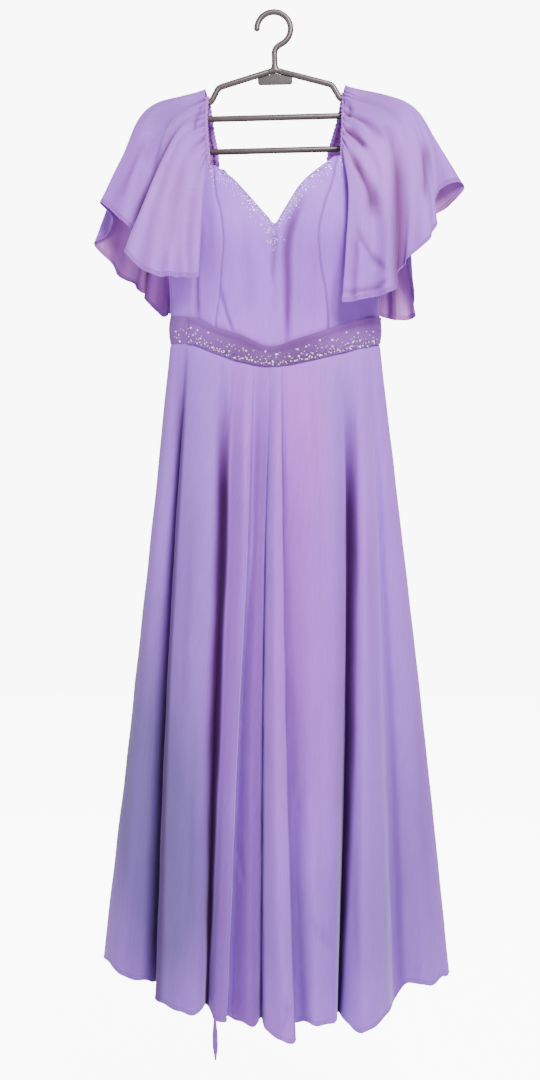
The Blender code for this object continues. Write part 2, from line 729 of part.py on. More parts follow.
def build_tie(name, table, collection):
    """A narrow flat tie that hangs nearly straight."""
    keys = [Vector(row) for row in table]
    line = spread_evenly(spline_through(keys, TIE_KEY_SAMPLES), TIE_ROWS)
    rows = []
    for i, centre in enumerate(line):
        share = i / (TIE_ROWS - 1)
        sway = Vector((TIE_SWAY * math.sin(TIE_SWAY_TURN * share) * share, 0, 0))
        half = Vector((TIE_WIDTH / 2, 0, 0))
        middle = centre + sway
        rows.append([middle - half, middle, middle + half])
    return cloth_sheet(name, rows, collection)


def rounded_line(corners, fillet, steps):
    """A line of straight runs whose corners are rounded."""
    line = [Vector(corners[0])]
    for before, corner, after in zip(corners, corners[1:], corners[2:]):
        corner = Vector(corner)
        into = (corner - Vector(before)).normalized()
        out = (Vector(after) - corner).normalized()
        start = corner - into * fillet
        end = corner + out * fillet
        for k in range(steps + 1):
            f = k / steps
            line.append(start * (1 - f) ** 2 + corner * 2 * f * (1 - f) + end * f * f)
    line.append(Vector(corners[-1]))
    return line


def tube_curve(name, points, radius, collection, parent, resolution=2):
    """A round rod along a line of points in the hanger's plane."""
    data = bpy.data.curves.new(name, "CURVE")
    data.dimensions = "3D"
    data.bevel_depth = radius * MM
    data.bevel_resolution = resolution
    data.use_fill_caps = True
    spline = data.splines.new("POLY")
    spline.points.add(len(points) - 1)
    for slot, point in zip(spline.points, points):
        slot.co = (point[0] * MM, 0.0, point[1] * MM, 1.0)
    obj = bpy.data.objects.new(name, data)
    collection.objects.link(obj)
    obj.parent = parent
    return obj


def mesh_from_curve(obj, collection, parent):
    """The same rod as a closed mesh, so that it can be cut or joined."""
    name = obj.name
    graph = bpy.context.evaluated_depsgraph_get()
    mesh = bpy.data.meshes.new_from_object(obj.evaluated_get(graph))
    work = bmesh.new()
    work.from_mesh(mesh)
    bmesh.ops.remove_doubles(work, verts=work.verts, dist=0.00001)
    work.to_mesh(mesh)
    work.free()
    matrix = obj.matrix_world.copy()
    bpy.data.objects.remove(obj)
    solid = bpy.data.objects.new(name, mesh)
    collection.objects.link(solid)
    solid.parent = parent
    solid.matrix_parent_inverse = parent.matrix_world.inverted()
    solid.matrix_world = matrix
    return solid


def join_with(obj, other):
    """Join another solid onto a piece."""
    union = obj.modifiers.new("join_" + other.name, "BOOLEAN")
    union.operation = "UNION"
    union.object = other
    other.hide_render = True
    other.display_type = "WIRE"


def hook_line():
    """Centre line of the hook: round crown, bent back to the stem, down to the neck."""
    centre_z = -(HOOK_RADIUS - HOOK_TUBE)
    line = []
    for degrees in range(HOOK_TIP_ANGLE, HOOK_END_ANGLE - 1, -HOOK_STEP_ANGLE):
        turn = math.radians(degrees)
        line.append(Vector((HOOK_RADIUS * math.cos(turn), centre_z + HOOK_RADIUS * math.sin(turn))))
    bend = [line[-1], *(Vector(point) for point in HOOK_BEND)]
    line += spline_through(bend, HOOK_BEND_STEPS)[1:]
    line.append(Vector((0, NECK_Z)))
    return line


def build_hook(parts, cutters, parent):
    """Hook, stem with a flared foot, and the short arch that the arms butt against."""
    hook = tube_curve("hanger_hook", hook_line(), HOOK_TUBE, parts, parent, resolution=3)
    hook = mesh_from_curve(hook, parts, parent)

    slope = (ARM_BENDS[1][1] - NECK_Z) / ARM_BENDS[1][0]
    foot = (NECK_HALF, NECK_Z + slope * NECK_HALF)
    arch_line = [Vector((-foot[0], foot[1])), Vector((0, NECK_Z)), Vector(foot)]
    arch = tube_curve("neck_arch", arch_line, HANGER_TUBE, cutters, parent, resolution=3)
    arch = mesh_from_curve(arch, cutters, parent)
    join_with(hook, arch)

    bpy.ops.mesh.primitive_cone_add(vertices=16, radius1=FLARE_BASE_RADIUS * MM,
                                    radius2=FLARE_TOP_RADIUS * MM, depth=FLARE_HEIGHT * MM,
                                    location=(0, 0, (NECK_Z + FLARE_LIFT) * MM))
    flare = bpy.context.active_object
    flare.name = "neck_flare"
    for owner in list(flare.users_collection):
        owner.objects.unlink(flare)
    cutters.objects.link(flare)
    flare.parent = parent
    join_with(hook, flare)

    tip_radius = HOOK_TUBE * TIP_GROWTH
    bpy.ops.mesh.primitive_uv_sphere_add(segments=12, ring_count=8, radius=tip_radius * MM,
                                         location=(-HOOK_RADIUS * MM, 0,
                                                   -(HOOK_RADIUS - HOOK_TUBE) * MM))
    tip = bpy.context.active_object
    tip.name = "hook_tip"
    for owner in list(tip.users_collection):
        owner.objects.unlink(tip)
    cutters.objects.link(tip)
    tip.parent = parent
    join_with(hook, tip)
    dress(hook, PLASTIC, PLASTIC_ROUGHNESS)


def build_arms(parts, parent):
    """Two arms, notched for the straps, and the posts that carry the rails."""
    slope = (ARM_BENDS[1][1] - NECK_Z) / ARM_BENDS[1][0]
    start_x = NECK_HALF + PIECE_GAP
    bends = [(start_x, NECK_Z + slope * start_x), *ARM_BENDS[1:]]
    for side, sign in (("left", -1), ("right", 1)):
        line = rounded_line([Vector((sign * x, z)) for x, z in bends], BEND_FILLET, BEND_STEPS)
        arm = tube_curve("hanger_arm_" + side, line, HANGER_TUBE, parts, parent)
        dress(arm, PLASTIC, PLASTIC_ROUGHNESS)
        post_line = [Vector((sign * POST_X, POST_TOP_Z)),
                     Vector((sign * POST_X, RAIL_LEVELS[-1] - HANGER_TUBE))]
        post = tube_curve("hanger_post_" + side, post_line, HANGER_TUBE, parts, parent)
        dress(post, PLASTIC, PLASTIC_ROUGHNESS)


def build_rails(parts, parent):
    """Upper and lower rail between the posts."""
    for name, level in zip(("hanger_rail_upper", "hanger_rail_lower"), RAIL_LEVELS):
        rail = tube_curve(name, [Vector((-RAIL_HALF, level)), Vector((RAIL_HALF, level))],
                          HANGER_TUBE, parts, parent)
        dress(rail, PLASTIC, PLASTIC_ROUGHNESS)


def build_plate(parts, parent):
    """Small flat plate under the neck with rounded lower corners."""
    slope = (ARM_BENDS[1][1] - NECK_Z) / ARM_BENDS[1][0]
    under = HANGER_TUBE * math.hypot(1, slope) + PIECE_GAP
    top = NECK_Z - under
    outline = [Vector((0, top)), Vector((-PLATE_HALF, top + slope * PLATE_HALF))]
    for corner_x, turns in ((-1, (180, 270)), (1, (270, 360))):
        for k in range(PLATE_CORNER_STEPS + 1):
            turn = math.radians(turns[0] + (turns[1] - turns[0]) * k / PLATE_CORNER_STEPS)
            outline.append(Vector((
                corner_x * (PLATE_HALF - PLATE_CORNER) + PLATE_CORNER * math.cos(turn),
                PLATE_BOTTOM_Z + PLATE_CORNER + PLATE_CORNER * math.sin(turn),
            )))
    outline.append(Vector((PLATE_HALF, top + slope * PLATE_HALF)))
    data = bpy.data.curves.new("hanger_plate", "CURVE")
    data.dimensions = "2D"
    data.fill_mode = "BOTH"
    data.extrude = PLATE_THICKNESS / 2 * MM
    spline = data.splines.new("POLY")
    spline.use_cyclic_u = True
    spline.points.add(len(outline) - 1)
    for slot, point in zip(spline.points, outline):
        slot.co = (point.x * MM, point.y * MM, 0.0, 1.0)
    plate = bpy.data.objects.new("hanger_plate", data)
    parts.objects.link(plate)
    plate.rotation_euler = (math.radians(90), 0, 0)
    plate.parent = parent
    dress(plate, PLASTIC, PLASTIC_ROUGHNESS)


def new_collection(name):
    """A collection linked to the scene."""
    collection = bpy.data.collections.new(name)
    bpy.context.scene.collection.children.link(collection)
    return collection


def main():
    """Build the hanger and then the gown on it."""
    for obj in list(bpy.data.objects):
        bpy.data.objects.remove(obj)
    parts = new_collection("formal_gown")
    cutters = new_collection("joined_shapes")

    tilt = bpy.data.objects.new("hanger_tilt", None)
    tilt.rotation_euler = (0, -HANGER_TILT, 0)
    parts.objects.link(tilt)
    bpy.context.view_layer.update()

    build_hook(parts, cutters, tilt)
    build_arms(parts, tilt)
    build_rails(parts, tilt)
    build_plate(parts, tilt)

    angles = waist_angles()
    build_bodice(angles, parts)
    build_waistband(angles, parts)
    build_skirt(angles, parts)
    build_strap("strap_left", LEFT_STRAP, parts)
    build_strap("strap_right", RIGHT_STRAP, parts)
    build_sleeve("sleeve_left", LEFT_SLEEVE, LEFT_STRAP, -1, LEFT_RIDGE_Z, parts)
    build_sleeve("sleeve_right", RIGHT_SLEEVE, RIGHT_STRAP, 1, RIGHT_RIDGE_Z, parts)
    build_tie("tie_left", LEFT_TIE, parts)
    build_tie("tie_right", RIGHT_TIE, parts)


main()
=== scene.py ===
"""Looks of a full-length chiffon gown that hangs by its ruched straps on a moulded hanger.

The tables and sizes are in millimetres, as a dressmaker works, and become metres where
meshes are made.  X runs to the right as the gown is seen from the front, Y runs away
from the viewer and Z runs up, with the origin inside the crown of the hanger's hook.
"""

import logging
import math
from dataclasses import dataclass, field
from enum import Enum
from typing import Callable, NamedTuple, Sequence

import bmesh
import bpy
import numpy as np
from bpy.types import Material, Mesh, Node, NodeSocket, NodeTree, Object
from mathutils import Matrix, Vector


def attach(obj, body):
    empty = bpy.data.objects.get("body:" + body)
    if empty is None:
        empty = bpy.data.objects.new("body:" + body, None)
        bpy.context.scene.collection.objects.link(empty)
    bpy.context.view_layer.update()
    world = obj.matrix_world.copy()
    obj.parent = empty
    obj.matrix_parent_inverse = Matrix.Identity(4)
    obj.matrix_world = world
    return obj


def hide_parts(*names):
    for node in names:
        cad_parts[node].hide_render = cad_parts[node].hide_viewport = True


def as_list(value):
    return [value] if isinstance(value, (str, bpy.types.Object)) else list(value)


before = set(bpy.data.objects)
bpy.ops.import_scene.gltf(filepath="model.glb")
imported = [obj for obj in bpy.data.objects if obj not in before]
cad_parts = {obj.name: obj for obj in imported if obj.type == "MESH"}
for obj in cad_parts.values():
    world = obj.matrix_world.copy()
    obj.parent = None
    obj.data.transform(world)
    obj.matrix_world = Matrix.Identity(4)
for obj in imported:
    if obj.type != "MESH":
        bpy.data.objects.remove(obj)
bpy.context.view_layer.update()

Triple = tuple[float, float, float]
Colour = tuple[float, float, float, float]

LOG = logging.getLogger("formal_gown")
MM = 0.001
BODY = "root"
SEED = 7

# Cloth
CLOTH_WALL = 1.0
HALF_SEAM = 0.12
SEAM_TURN = 1.1
SEAM_TURN_WIDTH = 2.2
# Painted shade along the left and right seams, where the cloth turns in
SEAM_SHADE = 0.5
STITCH_HALF = 0.0011
HEM_START = 0.00002
# Painted shade that each millimetre of a crease's depth adds to its tint
CREASE_SHADE_PER_MM = 0.06

# Hanger, upright before it is tilted about the hook's crown
HANGER_TILT = math.radians(1.5)
HANGER_TUBE = 4.5
HOOK_TUBE = 4.4
HOOK_RADIUS = 25.3
NECK_Z = -82.7
RAIL_LEVELS = (-154.0, -203.4)
RAIL_HALF = 115.6
POST_X = 120.0

# Body of the gown
BODY_CENTRE_X = 2.5
CUP_X = 74.0
CUP_Z = -330.0
CUP_DEPTH = 13.0
CUP_HALF_WIDTH = 40.0
CUP_HALF_HEIGHT = 52.0

# Columns of cloth from each fold line to the next, and rows from edge to edge
FRONT_FINE = 8
BACK_FINE = 12
BODICE_ROWS = 56
BAND_ROWS = 15
SKIRT_ROWS = 150
SLEEVE_ROWS = 64
SLEEVE_FINE = 10

# How far down the skirt its stations lie, and how fast its folds deepen
STATIONS = (0.0, 0.28, 0.58, 1.0)
DEPTH_POWER = 0.8
WAIST_FADE = 4
GAP_COLUMNS = 14
BAND_BULGE = 2.2

# Share of a crease over which its ends fade, how uneven its depth and width are, and the soft
# rise beside it
CREASE_TAPER = 0.3
CREASE_UNEVEN = 0.22
CREASE_WOBBLE = 0.25
CREASE_RISE = 0.32
CREASE_REACH = 2.1

# A hem field above this marks cloth that has a hem
NO_HEM = 0.00001

WHITE = (1.0, 1.0, 1.0, 1)

# Facets round a stone and its height over its radius
CRYSTAL_CUT = (8, 0.62)
BEAD_CUT = (6, 0.9)

# Angles up to which faces are shaded smooth
CLOTH_SMOOTH = math.radians(60)
PLASTIC_SMOOTH = math.radians(35)


class Side(Enum):
    """The side of the gown that a crease lies on."""

    FRONT = -1
    BACK = 1


class BodyRow(NamedTuple):
    """A level section of the gown's body: half ellipses front and back."""

    z: float
    half_width: float
    front_depth: float
    back_depth: float


class Edge(NamedTuple):
    """A point of an edge seen from the front."""

    x: float
    z: float


class Fold(NamedTuple):
    """A fold line of the skirt, from the waist past two stations to the hem."""

    name: str
    waist_x: float
    upper_x: float
    lower_x: float
    hem_x: float
    hem_y: float
    hem_z: float


class Ray(NamedTuple):
    """A fall line of a sleeve, from its share of the strap to the hem."""

    name: str
    strap: float
    middle: Triple
    low: Triple
    hem: Triple


class Crease(NamedTuple):
    """A soft trough, or a ridge where its depth is negative, along a line seen from one side, with
    its tint as shade painted along the line.
    """

    side: Side
    width: float
    depth: float
    line: tuple[tuple[float, float], ...]
    # Painted shade along the line
    tint: float = 0.0


class Gap(NamedTuple):
    """A gap of the skirt beside a fold line, with shade painted in it, its reaches given near
    waist, middle and hem.

    A side is crisper the higher its power is, lift raises the bottom of the gap, and tint is the
    strength of the painted shade.
    """

    fold: str
    left: Triple
    right: Triple
    left_power: float
    right_power: float
    lift: float
    tint: float
    start: float = -0.05


class Tone(NamedTuple):
    """A soft spot of pinker colour above zero, or bluer below it: partly uneven colour of the
    cloth, partly painted light and shade.
    """

    x: float
    z: float
    half_x: float
    half_z: float
    tone: float


def creases(side: Side, *rows: tuple) -> tuple[Crease, ...]:
    """Creases of one side from rows of width, depth, line and, where it has one, tint of painted
    shade.
    """
    return tuple(Crease(side, *row) for row in rows)


def edges(*rows: tuple[float, float]) -> tuple[Edge, ...]:
    """An edge from its points."""
    return tuple(Edge(*row) for row in rows)


BODY_ROWS = (
    BodyRow(-560, 156.7, 46, 36),
    BodyRow(-455, 156.7, 47, 37),
    BodyRow(-400, 158, 54, 40),
    BodyRow(-330, 162, 64, 44),
    BodyRow(-290, 160, 61, 44),
    BodyRow(-240, 153, 54, 42),
    BodyRow(-200, 150, 50, 40),
)

# Top edge of the front: armhole, strap, sweetheart neckline, strap, armhole
FRONT_TOP = edges(
    (-160, -340), (-148, -318), (-138, -296), (-125, -272), (-112, -250), (-103, -237),
    (-88, -236), (-76, -244), (-60, -256.5), (-44.2, -274), (-24.6, -297), (-8.7, -315),
    (1.4, -325.4), (12.5, -309.5), (25, -288.3), (37.3, -268.7), (48, -256.5), (64, -242.3),
    (80, -230), (93, -221.5), (109, -221), (118, -240), (130, -262), (142, -286), (152, -310),
    (165, -334),
)

# Top edge of the back: armhole, strap, low vee, strap, armhole
BACK_TOP = edges(
    (-160, -340), (-146, -315), (-132, -285), (-112, -250), (-98, -228), (-92, -223),
    (-76, -223), (-60, -250), (-40, -285), (-20, -318), (2.5, -345), (22, -315), (42, -280),
    (62, -245), (75, -215), (92, -213), (98, -220), (112, -242), (132, -275), (148, -305),
    (165, -334),
)

# Curved seams that shape the front over the bust
LEFT_PRINCESS = edges(
    (-85.5, -540), (-84.5, -471), (-80, -433), (-76, -382), (-73, -352), (-77, -311),
    (-84, -281), (-89, -236),
)
RIGHT_PRINCESS = edges(
    (81.5, -540), (80.5, -466), (78, -426), (69, -382), (65.5, -343), (72.5, -304), (88, -256),
    (95, -221),
)

# Waistband edges seen from the front; the back runs level
BAND_TOP = edges(
    (-156, -454.5), (-121, -458), (-90, -472), (-49, -486.5), (-5, -504), (39, -491), (83, -476),
    (127, -462), (160, -454.5),
)
BAND_BOTTOM = edges(
    (-156, -494), (-118, -498), (-86, -511.5), (-49, -524.5), (-2, -532), (39, -526),
    (98, -511.5), (160, -494),
)
BACK_BAND_TOP_Z = -454.5
BACK_BAND_BOTTOM_Z = -494.0

# Skirt folds across the front from the left silhouette to the right one
FRONT_FOLDS = (
    Fold("side_left", -154.2, -180.5, -210.5, -255.6, 12, -1412),
    Fold("left_side_crest", -146, -171, -196, -229, -28, -1428),
    Fold("left_side_inner", -137, -158, -179, -196, -24, -1443),
    Fold("left_gap", -130, -140, -155, -164, 16, -1452),
    Fold("panel_edge", -123, -143.5, -158, -173, -52, -1456),
    Fold("panel_crest", -112, -130, -142, -149, -86, -1462),
    Fold("panel_low", -99, -112, -123, -128, -97, -1470),
    Fold("panel_right", -85, -90, -101, -105, -84, -1466),
    Fold("tuck_gap", -74, -78, -88, -98, -54, -1468),
    Fold("strip_left", -64, -68.5, -79, -90, -77, -1474),
    Fold("strip_low", -51, -56, -68, -84, -92, -1480),
    Fold("strip_right", -37, -42, -55, -70, -90, -1482),
    Fold("step", -29, -37, -51, -67, -60, -1480),
    Fold("shade_left", -22, -31, -44, -55, -66, -1484),
    Fold("shade_low", -15, -22, -32, -37, -82, -1492),
    Fold("shade_right", -9, -16, -21.5, -25, -73, -1488),
    Fold("pleat_left_gap", -4, -12, -16, -18, -48, -1482),
    Fold("pleat_left", 1.4, -7.5, -10, -11, -88, -1494),
    Fold("pleat_low", 6, 3, 4, 14, -118, -1503),
    Fold("pleat_right", 11, 14.5, 19, 31, -104, -1504),
    Fold("pleat_under", 16, 12.5, 15, 25, -68, -1486),
    Fold("wide_left", 22, 20, 26, 38, -78, -1484),
    Fold("wide_low", 50, 48, 52, 59, -104, -1483),
    Fold("wide_right", 81, 88, 89, 87, -82, -1484),
    Fold("right_gap", 104, 108, 106, 95.5, -28, -1484),
    Fold("end_left", 115, 119, 114, 104, -68, -1488),
    Fold("end_low", 127, 133, 131, 127, -104, -1495),
    Fold("end_right", 137, 149, 156, 166, -66, -1478),
    Fold("seam_gap", 144, 157, 168, 182, -22, -1462),
    Fold("right_side_inner", 149, 166, 182, 200, -34, -1440),
    Fold("right_side_crest", 154, 177, 204, 236, -26, -1448),
    Fold("side_right", 159.2, 190.3, 223, 264.6, 12, -1436),
)

# Skirt folds across the back from the right silhouette to the left one
BACK_FOLDS = (
    Fold("back_right_edge", 150, 178, 203, 238, 60, -1446),
    Fold("back_right_gap", 136, 152, 172, 198, 34, -1450),
    Fold("back_right_crest", 118, 132, 146, 160, 92, -1462),
    Fold("back_inner_gap", 98, 104, 112, 118, 52, -1466),
    Fold("back_wide_crest", 72, 78, 84, 84, 104, -1470),
    Fold("back_wide_gap", 46, 48, 48, 44, 62, -1472),
    Fold("centre_right", 11.5, 15, 18, 20, 106, -1474),
    Fold("centre_left", -15.5, -17, -19, -22, 76, -1474),
    Fold("back_crest", -36, -42, -50, -60, 108, -1472),
    Fold("back_left_gap", -64, -70, -80, -94, 60, -1466),
    Fold("back_left_crest", -92, -100, -114, -128, 98, -1460),
    Fold("back_outer_gap", -118, -132, -150, -168, 50, -1446),
    Fold("back_left_edge", -141, -162, -186, -220, 64, -1430),
)

# Ruched straps from the front of the bodice over the hanger's notch to the back
LEFT_STRAP = (
    (-95.5, -41.5, -235.75), (-98.5, -33, -205), (-101, -20, -165), (-100.5, -9, -134),
    (-99.4, 0, -124.3), (-97.5, 9, -134), (-93, 20, -165), (-87, 29, -200), (-84.2, 34, -222.65),
)
RIGHT_STRAP = (
    (101, -39.5, -220.7), (103, -32, -195), (104.5, -20, -158), (105.5, -9, -129),
    (105.8, 0, -118.6), (104, 9, -129), (98, 20, -158), (88, 29, -190), (83.5, 34, -212.8),
)

# Flutter sleeves: fall lines from the strap to the hem, from the front round to the back
LEFT_SLEEVE = (
    Ray("free_edge", 0.04, (-103, -64, -280), (-107, -72, -344), (-111, -76, -406)),
    Ray("front_inner", 0.10, (-115, -63, -262), (-124, -78, -331), (-125, -86, -408)),
    Ray("front_middle", 0.17, (-126, -60, -240), (-141, -80, -324), (-148, -90, -407)),
    Ray("front_outer", 0.24, (-131, -50, -208), (-159, -76, -302), (-171, -88, -405)),
    Ray("lobe", 0.31, (-136, -40, -188), (-173, -66, -288), (-195, -82, -391)),
    Ray("lobe_crest", 0.37, (-143, -30, -172), (-185, -56, -280), (-214, -72, -369)),
    Ray("valley", 0.42, (-150, -12, -156), (-181, -20, -252), (-203, -24, -341)),
    Ray("upper_hem", 0.46, (-182, -10, -147), (-206, -24, -231), (-224, -34, -315)),
    Ray("outer_tip", 0.50, (-189, 0, -141), (-226, -8, -218), (-256, -14, -285)),
    Ray("behind_tip", 0.53, (-188, 11, -146), (-225, 12, -229), (-240, 8, -313)),
    Ray("second_tip", 0.57, (-188, 20, -152), (-236, 26, -249), (-267, 22, -339)),
    Ray("back_outer", 0.63, (-178, 27, -160), (-212, 38, -277), (-238, 40, -377)),
    Ray("back_wave", 0.70, (-165, 35, -172), (-189, 48, -291), (-213, 56, -399)),
    Ray("back_valley", 0.77, (-155, 42, -195), (-177, 54, -319), (-193, 46, -416)),
    Ray("pendant", 0.84, (-143, 50, -221), (-163, 64, -330), (-175, 66, -443)),
    Ray("back_inner", 0.91, (-134, 55, -245), (-150, 68, -345), (-154, 78, -436)),
    Ray("back_edge", 0.96, (-117, 56, -262), (-125, 66, -350), (-126, 72, -450)),
)
RIGHT_SLEEVE = (
    Ray("free_edge", 0.04, (110, -64, -275), (107, -72, -352), (101, -78, -443)),
    Ray("front_inner", 0.10, (127, -66, -263), (125, -80, -353), (119, -86, -441)),
    Ray("front_valley", 0.17, (141, -56, -239), (146, -70, -337), (141, -76, -435)),
    Ray("front_outer", 0.24, (150, -52, -216), (166, -78, -324), (162, -88, -431)),
    Ray("lobe_crest", 0.31, (163, -40, -191), (181, -66, -307), (181, -76, -418)),
    Ray("valley", 0.37, (170, -28, -172), (191, -50, -287), (190, -56, -388)),
    Ray("side_inner", 0.41, (180, -22, -161), (204, -44, -273), (200, -56, -372)),
    Ray("side_outer", 0.44, (189, -15, -152), (219, -36, -241), (225, -50, -349)),
    Ray("side_crest", 0.465, (196, -10, -142), (228, -24, -226), (239, -32, -324)),
    Ray("tip_valley", 0.48, (201, -6, -138), (230, -16, -212), (235, -22, -292)),
    Ray("upper_hem", 0.50, (205, 0, -134.5), (240, -8, -196), (250, -12, -262)),
    Ray("tip_front", 0.515, (206, 4, -134.5), (244, -1, -192), (272, -6, -253)),
    Ray("outer_tip", 0.53, (205, 9, -136), (246, 8, -192), (289, 6, -255)),
    Ray("tip_back", 0.55, (200, 14, -141), (236, 18, -206), (264, 22, -282)),
    Ray("behind_tip", 0.57, (195, 18, -147), (226, 26, -227), (236, 28, -300)),
    Ray("back_outer", 0.63, (184, 27, -160), (203, 38, -280), (203, 34, -378)),
    Ray("back_corner", 0.70, (174, 37, -178), (199, 53, -320), (221, 56, -440)),
    Ray("back_valley", 0.78, (160, 44, -201), (183, 60, -315), (192, 62, -449)),
    Ray("back_inner", 0.86, (148, 51, -225), (161, 65, -325), (166, 66, -442)),
    Ray("back_edge", 0.95, (126, 56, -250), (134, 66, -335), (137, 74, -436)),
)

# Ends of the two narrow ties that hang from the back of the waistband
LEFT_TIE = (
    (-99, 31.8, -464), (-99, 32.2, -478), (-98, 37, -510), (-98, 52, -640), (-96, 72, -900),
    (-93, 92, -1200), (-90, 106, -1440), (-88, 109, -1605),
)
RIGHT_TIE = (
    (104, 31.8, -464), (104, 32.2, -478), (103, 37, -510), (101, 52, -640), (98, 74, -900),
    (96, 92, -1150), (95, 102, -1360),
)

# Gaps between folds, with shade painted in them; partly too the deeper colour of cloth that lies
# double there
GAPS = (
    Gap("left_gap", (11, 11, 16), (4, 4, 10), 3.0, 3.0, 2.0, 0.66),
    Gap("tuck_gap", (9.0, 7.0, 2.2), (13.5, 11.0, 4.5), 2.2, 8.0, 3.0, 1.0, 0.0),
    Gap("strip_low", (11, 11, 13), (12, 14, 18), 4.0, 4.0, 0.0, 0.40),
    Gap("step", (1.2, 1.3, 1.6), (2.4, 3.0, 3.6), 6.0, 1.8, 0.0, 0.46),
    Gap("shade_low", (10, 20, 32), (8, 13, 18), 7.0, 4.0, 2.0, 0.44),
    Gap("pleat_left_gap", (1.4, 1.4, 2.0), (1.6, 2.2, 6.0), 3.0, 2.0, 7.0, 0.52),
    Gap("pleat_right", (0.9, 1.0, 1.2), (2.0, 2.4, 3.0), 3.0, 3.0, 0.0, 0.66),
    Gap("right_gap", (2.4, 1.0, 0.8), (20.5, 14, 5), 8.0, 4.0, 3.0, 1.0, 0.03),
    Gap("seam_gap", (2.0, 2.0, 2.5), (5.0, 6.0, 7.0), 3.0, 1.6, 3.0, 0.20, 0.15),
    Gap("back_right_gap", (3.0, 3.0, 3.0), (12, 10, 8), 5.0, 2.0, 4.0, 0.70, 0.05),
    Gap("back_inner_gap", (10, 10, 8), (2.0, 2.0, 2.0), 2.0, 6.0, 4.0, 0.80),
    Gap("back_wide_gap", (2.0, 2.0, 2.0), (12, 11, 8), 6.0, 2.0, 4.0, 0.80, 0.04),
    Gap("centre_left", (3.0, 3.0, 3.0), (4.0, 4.0, 5.0), 2.0, 3.0, 2.0, 0.42),
    Gap("back_left_gap", (11, 10, 8), (2.0, 2.0, 2.0), 2.0, 6.0, 4.0, 0.80, 0.03),
    Gap("back_outer_gap", (3.0, 3.0, 3.0), (11, 10, 8), 5.0, 2.0, 4.0, 0.66, 0.05),
)

# Crease rows, here and below, give width, depth, line and tint; the tint is painted shade along the
# line, and rows of little depth mostly paint shade
BODICE_CREASES = creases(
    Side.FRONT,
    (6.6, 6.0, ((55, -262), (38, -298), (26, -326), (20, -358), (21, -414), (20, -530)), 0.42),
    (18.0, 0.4, ((98, -300), (100, -380), (98, -470)), 0.14),
    (14.0, 0.4, ((-116, -300), (-118, -390), (-118, -480)), 0.14),
    (10.0, 1.0, ((64, -268), (48, -306), (38, -352), (38, -440), (36, -500)), 0.10),
    (7.0, -2.4, ((12, -340), (9, -400), (8, -480))),
    (22.0, 0.4, ((80, -270), (64, -350), (58, -420), (60, -500)), 0.13),
    (18.0, 0.4, ((-108, -300), (-104, -380), (-108, -500)), 0.16),
    (5.0, 3.4, ((4, -318), (0, -365), (-3, -420)), 0.22),
    (4.0, 4.4, ((-82, -410), (-72, -446), (-58, -488)), 0.16),
    (5.0, 5.6, ((-113, -352), (-114, -420), (-114, -476)), 0.20),
    (9.0, 1.6, ((-44, -320), (-38, -400), (-40, -470)), 0.05),
    (8.0, -1.4, ((-22, -350), (-18, -420), (-22, -480))),
    (8.0, 1.3, ((52, -350), (56, -410), (52, -474)), 0.06),
    (5.0, 1.6, ((92, -380), (88, -430), (86, -466)), 0.10),
    (6.0, 1.4, ((-96, -290), (-92, -340), (-96, -380)), 0.06),
    (6.0, 1.4, ((124, -350), (118, -400), (120, -446)), 0.08),
) + creases(
    Side.BACK,
    (6.0, 3.6, ((-34, -330), (-30, -380), (-34, -444)), 0.10),
    (5.0, 2.6, ((52, -300), (44, -360), (48, -440)), 0.08),
    (5.0, 2.6, ((104, -330), (98, -390), (104, -446)), 0.08),
    (5.0, 2.4, ((-98, -320), (-92, -380), (-98, -444)), 0.08),
    (3.5, 1.6, ((-60, -410), (-30, -432), (0, -440)), 0.06),
    (3.5, 1.6, ((62, -412), (36, -430), (10, -442)), 0.06),
)
SKIRT_CREASES = creases(
    Side.FRONT,
    (34.0, 0.3, ((40, -560), (42, -900), (46, -1300)), 0.13),
    (3.0, 1.8, ((-76, -512), (-78, -560), (-80, -610))),
    (3.0, 1.8, ((-62, -518), (-63, -570), (-66, -620))),
    (7.0, 2.2, ((57, -540), (60, -640), (68, -760), (76, -900))),
    (6.0, 2.4, ((30, -1190), (38, -1160), (46, -1130))),
    (6.0, 2.0, ((46, -1320), (66, -1350), (88, -1385))),
    (5.0, 1.8, ((-60, -1220), (-50, -1250), (-42, -1300))),
    (5.0, 3.0, ((14, -1440), (20, -1462), (8, -1492))),
    (9.0, 2.0, ((-120, -700), (-128, -900), (-134, -1100))),
    (8.0, 1.8, ((-112, -1000), (-116, -1200), (-120, -1400))),
    (8.0, 2.0, ((-214, -1050), (-222, -1200), (-232, -1360))),
    (9.0, 2.2, ((140, -700), (146, -900), (150, -1150))),
    (9.0, 2.0, ((216, -1000), (224, -1180), (234, -1380))),
    (1.3, 1.0, ((158, -880), (163, -1100), (172, -1300), (178, -1440))),
    (7.0, 1.8, ((112, -1180), (116, -1300), (120, -1440))),
    (7.0, 1.6, ((70, -1020), (66, -1180), (70, -1330))),
) + creases(
    Side.BACK,
    (7.0, 2.4, ((-30, -520), (-34, -700), (-44, -900))),
    (7.0, 2.2, ((60, -600), (66, -800), (70, -1050))),
    (8.0, 2.2, ((-110, -800), (-120, -1000), (-130, -1250))),
    (8.0, 2.2, ((140, -900), (150, -1100), (160, -1350))),
    (6.0, 2.2, ((-60, -1220), (-48, -1260), (-40, -1330))),
    (6.0, 2.0, ((30, -1130), (44, -1170), (52, -1230))),
    (8.0, 2.0, ((200, -1000), (212, -1200), (224, -1400))),
    (8.0, 2.0, ((-190, -1000), (-202, -1180), (-212, -1380))),
    (3.0, 1.8, ((-50, -498), (-52, -540), (-55, -590))),
    (3.0, 1.8, ((84, -498), (86, -545), (90, -600))),
)
